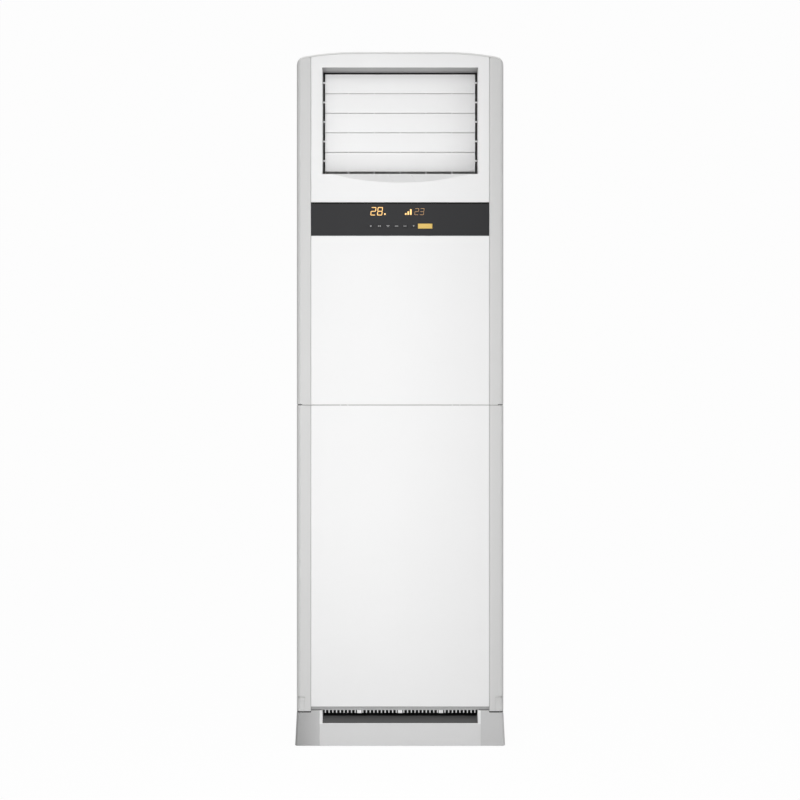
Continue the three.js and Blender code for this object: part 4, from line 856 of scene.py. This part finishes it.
def strip_graphic(name, outlines, finish, slant=0.0, base=0.0, body="base", front=None):
    """Thin flat shapes that lie on the strip's face."""
    face = STRIP_LOW.y if front is None else front
    proud, sunk = 0.12 * MM, 0.05 * MM
    work = bmesh.new()
    for outline in outlines:
        leaned = [(x + (z - base) * math.tan(slant), z) for x, z in outline]
        extrude_outline(work, leaned, face - proud, face + sunk)
    return piece(name, from_bmesh(name, work), body, "amber", finish)


def two_digits(number, x, z, height, stroke):
    """Outlines of a number of two digits, about a middle."""
    step = 0.4 * height
    pair = divmod(number, 10)
    return [bar for digit, side in zip(pair, (-1, 1))
            for bar in digit_outlines(digit, x + side * step, z, height, stroke)]


def block(x0, x1, z0, z1):
    """A rectangle as an outline."""
    return [(x0, z0), (x1, z0), (x1, z1), (x0, z1)]


class AIRCON_OT_display(bpy.types.Operator):
    """Light the two displays and the level bars between them."""

    bl_idname = "aircon.display"
    bl_label = "Display"

    def execute(self, context):
        shown = context.scene.aircon_display
        height, stroke, slant = shown.digit_height, shown.stroke, shown.slant
        left, right = -62.5 * MM, 51.5 * MM
        middle = STRIP_HIGH.z - 23.7 * MM
        # Painted glow: wider, dark orange copies of the digits lie round the lit segments.
        halo = two_digits(shown.degrees, left, middle, height, 2.2 * stroke)
        degrees = two_digits(shown.degrees, left, middle, height, stroke)
        spare = two_digits(shown.spare, right, middle - 1 * MM, 0.8 * height, 0.7 * stroke)
        strip_graphic("display_halo", halo, "segment_halo", slant, middle)
        strip_graphic("display_degrees", degrees, "segment_lit", slant, middle,
                      front=STRIP_LOW.y - 0.1 * MM)
        strip_graphic("display_spare", spare, "segment_dim", slant, middle)
        foot = middle - 9.5 * MM
        wide, pitch, start = 4.2 * MM, 6.7 * MM, 13 * MM
        levels = [block(start + i * pitch, start + i * pitch + wide, foot, foot + rise)
                  for i, rise in enumerate((4.5 * MM, 9 * MM, 15 * MM))]
        mark = block(-42.5 * MM, -38.5 * MM, foot, foot + 4 * MM)
        strip_graphic("display_levels", [*levels, mark], "segment_lit")
        return {"FINISHED"}


class AIRCON_OT_keys(bpy.types.Operator):
    """Round the keys and print a plain mark on each small one."""

    bl_idname = "aircon.keys"
    bl_label = "Keys"

    def execute(self, context):
        edge = context.scene.aircon_cabinet.edge
        scale = 1.5 * MM
        marks = (
            (block(-1.2, 1.2, -1.2, 1.2),),
            (block(-2.6, -0.5, -1.1, 1.1), block(0.5, 2.6, -1.1, 1.1)),
            (block(-2.6, 2.6, 0.4, 1.3), block(-1.4, 1.4, -1.3, -0.4)),
            (block(-3.0, 3.0, -0.7, 0.7),),
            (block(-2.6, -1.6, -1.2, 1.2), block(-1.0, 2.6, -0.6, 0.6)),
            ([(-1.5, 1.3), (0.0, -1.5), (1.5, 1.3)],))
        for node, shapes in zip(KEYS, marks):
            soften(node, 0.4 * edge)
            low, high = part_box(node)
            x, z = (low.x + high.x) / 2, (low.z + high.z) / 2
            outlines = [[(x + scale * u, z + scale * v) for u, v in shape] for shape in shapes]
            strip_graphic(f"{node}_print", outlines, "key_print", body=BODY_OF[node], front=low.y)
        soften("power_key", 0.5 * edge)
        return {"FINISHED"}


# ---------------------------------------------------------------------------------------------
# Inside the cabinet
# ---------------------------------------------------------------------------------------------

class AIRCON_OT_coil(bpy.types.Operator):
    """Fill the coil with thin fins and run its tubes through them."""

    bl_idname = "aircon.coil"
    bl_label = "Coil"

    def execute(self, context):
        coil = context.scene.aircon_coil
        width = FINS_HIGH.x - FINS_LOW.x
        count = int(width / coil.fin_pitch)
        middle = (0.0, (FINS_LOW.y + FINS_HIGH.y) / 2, (FINS_LOW.z + FINS_HIGH.z) / 2)
        turn = (-coil.lean, 0.0, 0.0)
        fins = Pattern(
            "coil_fins", Wall=coil.fin_wall, Depth=coil.fin_depth, Length=coil.fin_length, Count=count,
            Start=(-width / 2 + coil.fin_pitch / 2, 0.0, 0.0), Step=(coil.fin_pitch, 0.0, 0.0))
        size = fins.vector(fins.size("Wall"), fins.size("Depth"), fins.size("Length"))
        fin = fins.node("GeometryNodeMeshCube", Size=size)
        row = fins.row(fin.outputs["Mesh"], fins.size("Count"), fins.size("Start"), fins.size("Step"))
        mesh = fins.mesh(fins.placed(row, middle, turn), "aluminium")
        piece("coil_fins", mesh, "base", "aluminium", "aluminium", "evaporator_fins")

        step = coil.fin_length / coil.bends
        radius = 4.8 * MM
        drop = coil.fin_depth / 12          # the two rows of tubes stand this far off the middle
        tubes = Pattern(
            "coil_tubes", Radius=radius, Length=width, Count=coil.bends,
            Start=(0.0, -coil.fin_depth / 4, -step * (coil.bends - 1) / 2 - drop),
            Across=(0.0, coil.fin_depth / 2, 2 * drop), Step=(0.0, 0.0, step))
        tube = tubes.node("GeometryNodeMeshCylinder", Vertices=10, Radius=tubes.size("Radius"),
                          Depth=tubes.size("Length"))
        lying = tubes.placed(tube.outputs["Mesh"], rotation=(0.0, math.pi / 2, 0.0))
        front = tubes.row(lying, tubes.size("Count"), tubes.size("Start"), tubes.size("Step"))
        both = tubes.joined(front, tubes.placed(front, tubes.size("Across")))
        mesh = tubes.mesh(tubes.placed(both, middle, turn), "copper")
        shade(mesh)
        piece("coil_tubes", mesh, "base", "copper", "copper")
        return {"FINISHED"}


class AIRCON_OT_filter(bpy.types.Operator):
    """Weave the strands of the air filter's net."""

    bl_idname = "aircon.filter"
    bl_label = "Filter net"

    def execute(self, context):
        coil = context.scene.aircon_coil
        rim = 5 * MM
        wide = FILTER_HIGH.x - FILTER_LOW.x - 2 * rim
        tall = FILTER_HIGH.z - FILTER_LOW.z - 2 * rim
        middle = (0.0, (FILTER_LOW.y + FILTER_HIGH.y) / 2, (FILTER_LOW.z + FILTER_HIGH.z) / 2)
        columns, rows = int(wide / coil.net_pitch), int(tall / coil.net_pitch)
        net = Pattern(
            "filter_net", Strand=coil.net_strand, Wide=wide, Tall=tall, Columns=columns, Rows=rows,
            Left=(-wide / 2, 0.0, 0.0), Across=(wide / (columns - 1), 0.0, 0.0),
            Foot=(0.0, 0.0, -tall / 2), Up=(0.0, 0.0, tall / (rows - 1)))
        strand = net.size("Strand")
        proud = net.math("MULTIPLY", strand, 2.0)
        warp = net.node("GeometryNodeMeshCube", Size=net.vector(strand, proud, net.size("Tall")))
        weft = net.node("GeometryNodeMeshCube", Size=net.vector(net.size("Wide"), proud, strand))
        upright = net.row(
            warp.outputs["Mesh"], net.size("Columns"), net.size("Left"), net.size("Across"))
        level = net.row(weft.outputs["Mesh"], net.size("Rows"), net.size("Foot"), net.size("Up"))
        mesh = net.mesh(net.placed(net.joined(upright, level), middle), "black_plastic")
        piece("filter_net", mesh, "air_filter", "black_plastic", "black_plastic")
        return {"FINISHED"}


# ---------------------------------------------------------------------------------------------
# Stage
# ---------------------------------------------------------------------------------------------

WHITE = (1.0, 1.0, 1.0, 1.0)
# Each lamp's place, the point that it faces, and its width and height, all in metres.
LAMPS = {
    "key": ((-0.14, -1.3, 1.15), (-0.14, -0.1, 1.15), 0.5, 2.2),
    "fill": ((2.6, -2.6, 1.4), (0.0, -0.1, 0.9), 1.6, 2.6),
    "top": ((0.0, 0.3, 4.2), (0.0, 0.0, 1.0), 2.2, 2.2),
}


def lamp(name, place, target, width, height, power):
    """A soft rectangular lamp that faces a point."""
    data = bpy.data.lights.new(name, "AREA")
    data.shape = "RECTANGLE"
    data.size = width
    data.size_y = height
    data.energy = power
    made = bpy.data.objects.new(name, data)
    made.location = place
    made.rotation_euler = (Vector(target) - Vector(place)).to_track_quat("-Z", "Y").to_euler()
    made.visible_camera = False
    bpy.context.scene.collection.objects.link(made)


def light_sky(level):
    """Even light from all round, and plain white where the camera looks past the object."""
    world = bpy.data.worlds.new("studio")
    bpy.context.scene.world = world
    world.use_nodes = True
    nodes, links = world.node_tree.nodes, world.node_tree.links
    nodes.clear()
    output = nodes.new("ShaderNodeOutputWorld")
    even, plain = (nodes.new("ShaderNodeBackground") for _ in range(2))
    for background, strength in ((even, level), (plain, 1.0)):
        background.inputs["Color"].default_value = WHITE
        background.inputs["Strength"].default_value = strength
    path = nodes.new("ShaderNodeLightPath")
    mix = nodes.new("ShaderNodeMixShader")
    links.new(path.outputs["Is Camera Ray"], mix.inputs["Fac"])
    links.new(even.outputs["Background"], mix.inputs[1])
    links.new(plain.outputs["Background"], mix.inputs[2])
    links.new(mix.outputs["Shader"], output.inputs["Surface"])


def floor_paint(tone):
    """Pale floor, nearly white to the camera, that still takes the object's shadow."""
    whiteness = 0.97
    made = Finish("studio_floor", tone, 0.9, specular=0.1)
    made.mottle(0.8, 0.004)
    made.relief(made.noise(60.0, 2.0), 0.02)
    path = made.node("ShaderNodeLightPath")
    white = made.node("ShaderNodeEmission")
    white.inputs["Color"].default_value = WHITE
    white.inputs["Strength"].default_value = 1.0
    share = made.span(path.outputs["Is Camera Ray"], 0.0, whiteness)
    mix = made.node("ShaderNodeMixShader")
    made.link(share, mix.inputs["Fac"])
    made.link(made.shader.outputs["BSDF"], mix.inputs[1])
    made.link(white.outputs["Emission"], mix.inputs[2])
    made.link(mix.outputs["Shader"], made.tree.nodes["Material Output"].inputs["Surface"])
    return made.material


def backdrop_mesh():
    """A level floor that curves up into a backdrop."""
    near, turn, bend, top, half, steps = -9.0, 5.0, 2.5, 9.0, 9.0, 16
    angles = [math.pi / 2 * k / steps for k in range(1, steps + 1)]
    profile = [(near, 0.0), (turn, 0.0)]
    profile += [(turn + bend * math.sin(a), bend - bend * math.cos(a)) for a in angles]
    profile.append((turn + bend, top))
    work = bmesh.new()
    left, right = [[work.verts.new((x, y, z)) for y, z in profile] for x in (-half, half)]
    for k in range(len(profile) - 1):
        work.faces.new((left[k], right[k], right[k + 1], left[k + 1]))
    mesh = bpy.data.meshes.new("studio_floor")
    work.to_mesh(mesh)
    work.free()
    mesh.shade_smooth()
    return mesh


class AIRCON_OT_stage(bpy.types.Operator):
    """Lay the floor with its curved backdrop, and set the lamps and the camera."""

    bl_idname = "aircon.stage"
    bl_label = "Stage"

    def execute(self, context):
        stage = context.scene.aircon_stage
        scene = context.scene
        scene.view_settings.view_transform = "Standard"

        mesh = backdrop_mesh()
        mesh.materials.append(floor_paint(tuple(stage.floor)))
        floor = bpy.data.objects.new("studio_floor", mesh)
        scene.collection.objects.link(floor)

        light_sky(stage.sky)
        for name, (place, target, width, height) in LAMPS.items():
            power = getattr(stage, f"{name}_power")
            lamp(f"{name}_lamp", place, target, width, height, power)

        data = bpy.data.cameras.new("camera")
        sideways = -0.3 * MM
        data.sensor_width = 36.0
        data.lens = data.sensor_width * stage.distance / stage.view_width
        camera = bpy.data.objects.new("camera", data)
        camera.location = (sideways, cad_bounds[0][1] - stage.distance, stage.eye)
        camera.rotation_euler = (math.pi / 2, 0.0, 0.0)
        scene.collection.objects.link(camera)
        scene.camera = camera
        return {"FINISHED"}


# ---------------------------------------------------------------------------------------------
# Sidebar
# ---------------------------------------------------------------------------------------------

STEPS = (
    AIRCON_OT_finishes, AIRCON_OT_mouldings, AIRCON_OT_seal, AIRCON_OT_sheets, AIRCON_OT_vanes,
    AIRCON_OT_screws, AIRCON_OT_display, AIRCON_OT_keys, AIRCON_OT_coil, AIRCON_OT_filter,
    AIRCON_OT_stage,
)


class AIRCON_PT_sidebar(bpy.types.Panel):
    """The steps that make the object, and their settings."""

    bl_idname = "AIRCON_PT_sidebar"
    bl_label = "Air conditioner"
    bl_space_type = "VIEW_3D"
    bl_region_type = "UI"
    bl_category = "Air conditioner"

    def draw(self, context):
        for step in STEPS:
            self.layout.operator(step.bl_idname)
        for name, group in SETTINGS:
            column = self.layout.box().column()
            for label in group.__annotations__:
                column.prop(getattr(context.scene, name), label)


CLASSES = (*(group for _, group in SETTINGS), *STEPS, AIRCON_PT_sidebar)


def register():
    """Adds the settings, the operators and the sidebar."""
    for made in CLASSES:
        bpy.utils.register_class(made)
    for name, group in SETTINGS:
        setattr(bpy.types.Scene, name, bpy.props.PointerProperty(type=group))


def unregister():
    """Takes them away again."""
    for name, _ in SETTINGS:
        delattr(bpy.types.Scene, name)
    for made in reversed(CLASSES):
        bpy.utils.unregister_class(made)


def main():
    """Makes the object and its stage, step by step."""
    register()
    for step in STEPS:
        group, name = step.bl_idname.split(".")
        getattr(getattr(bpy.ops, group), name)()


if __name__ == "__main__":
    main()
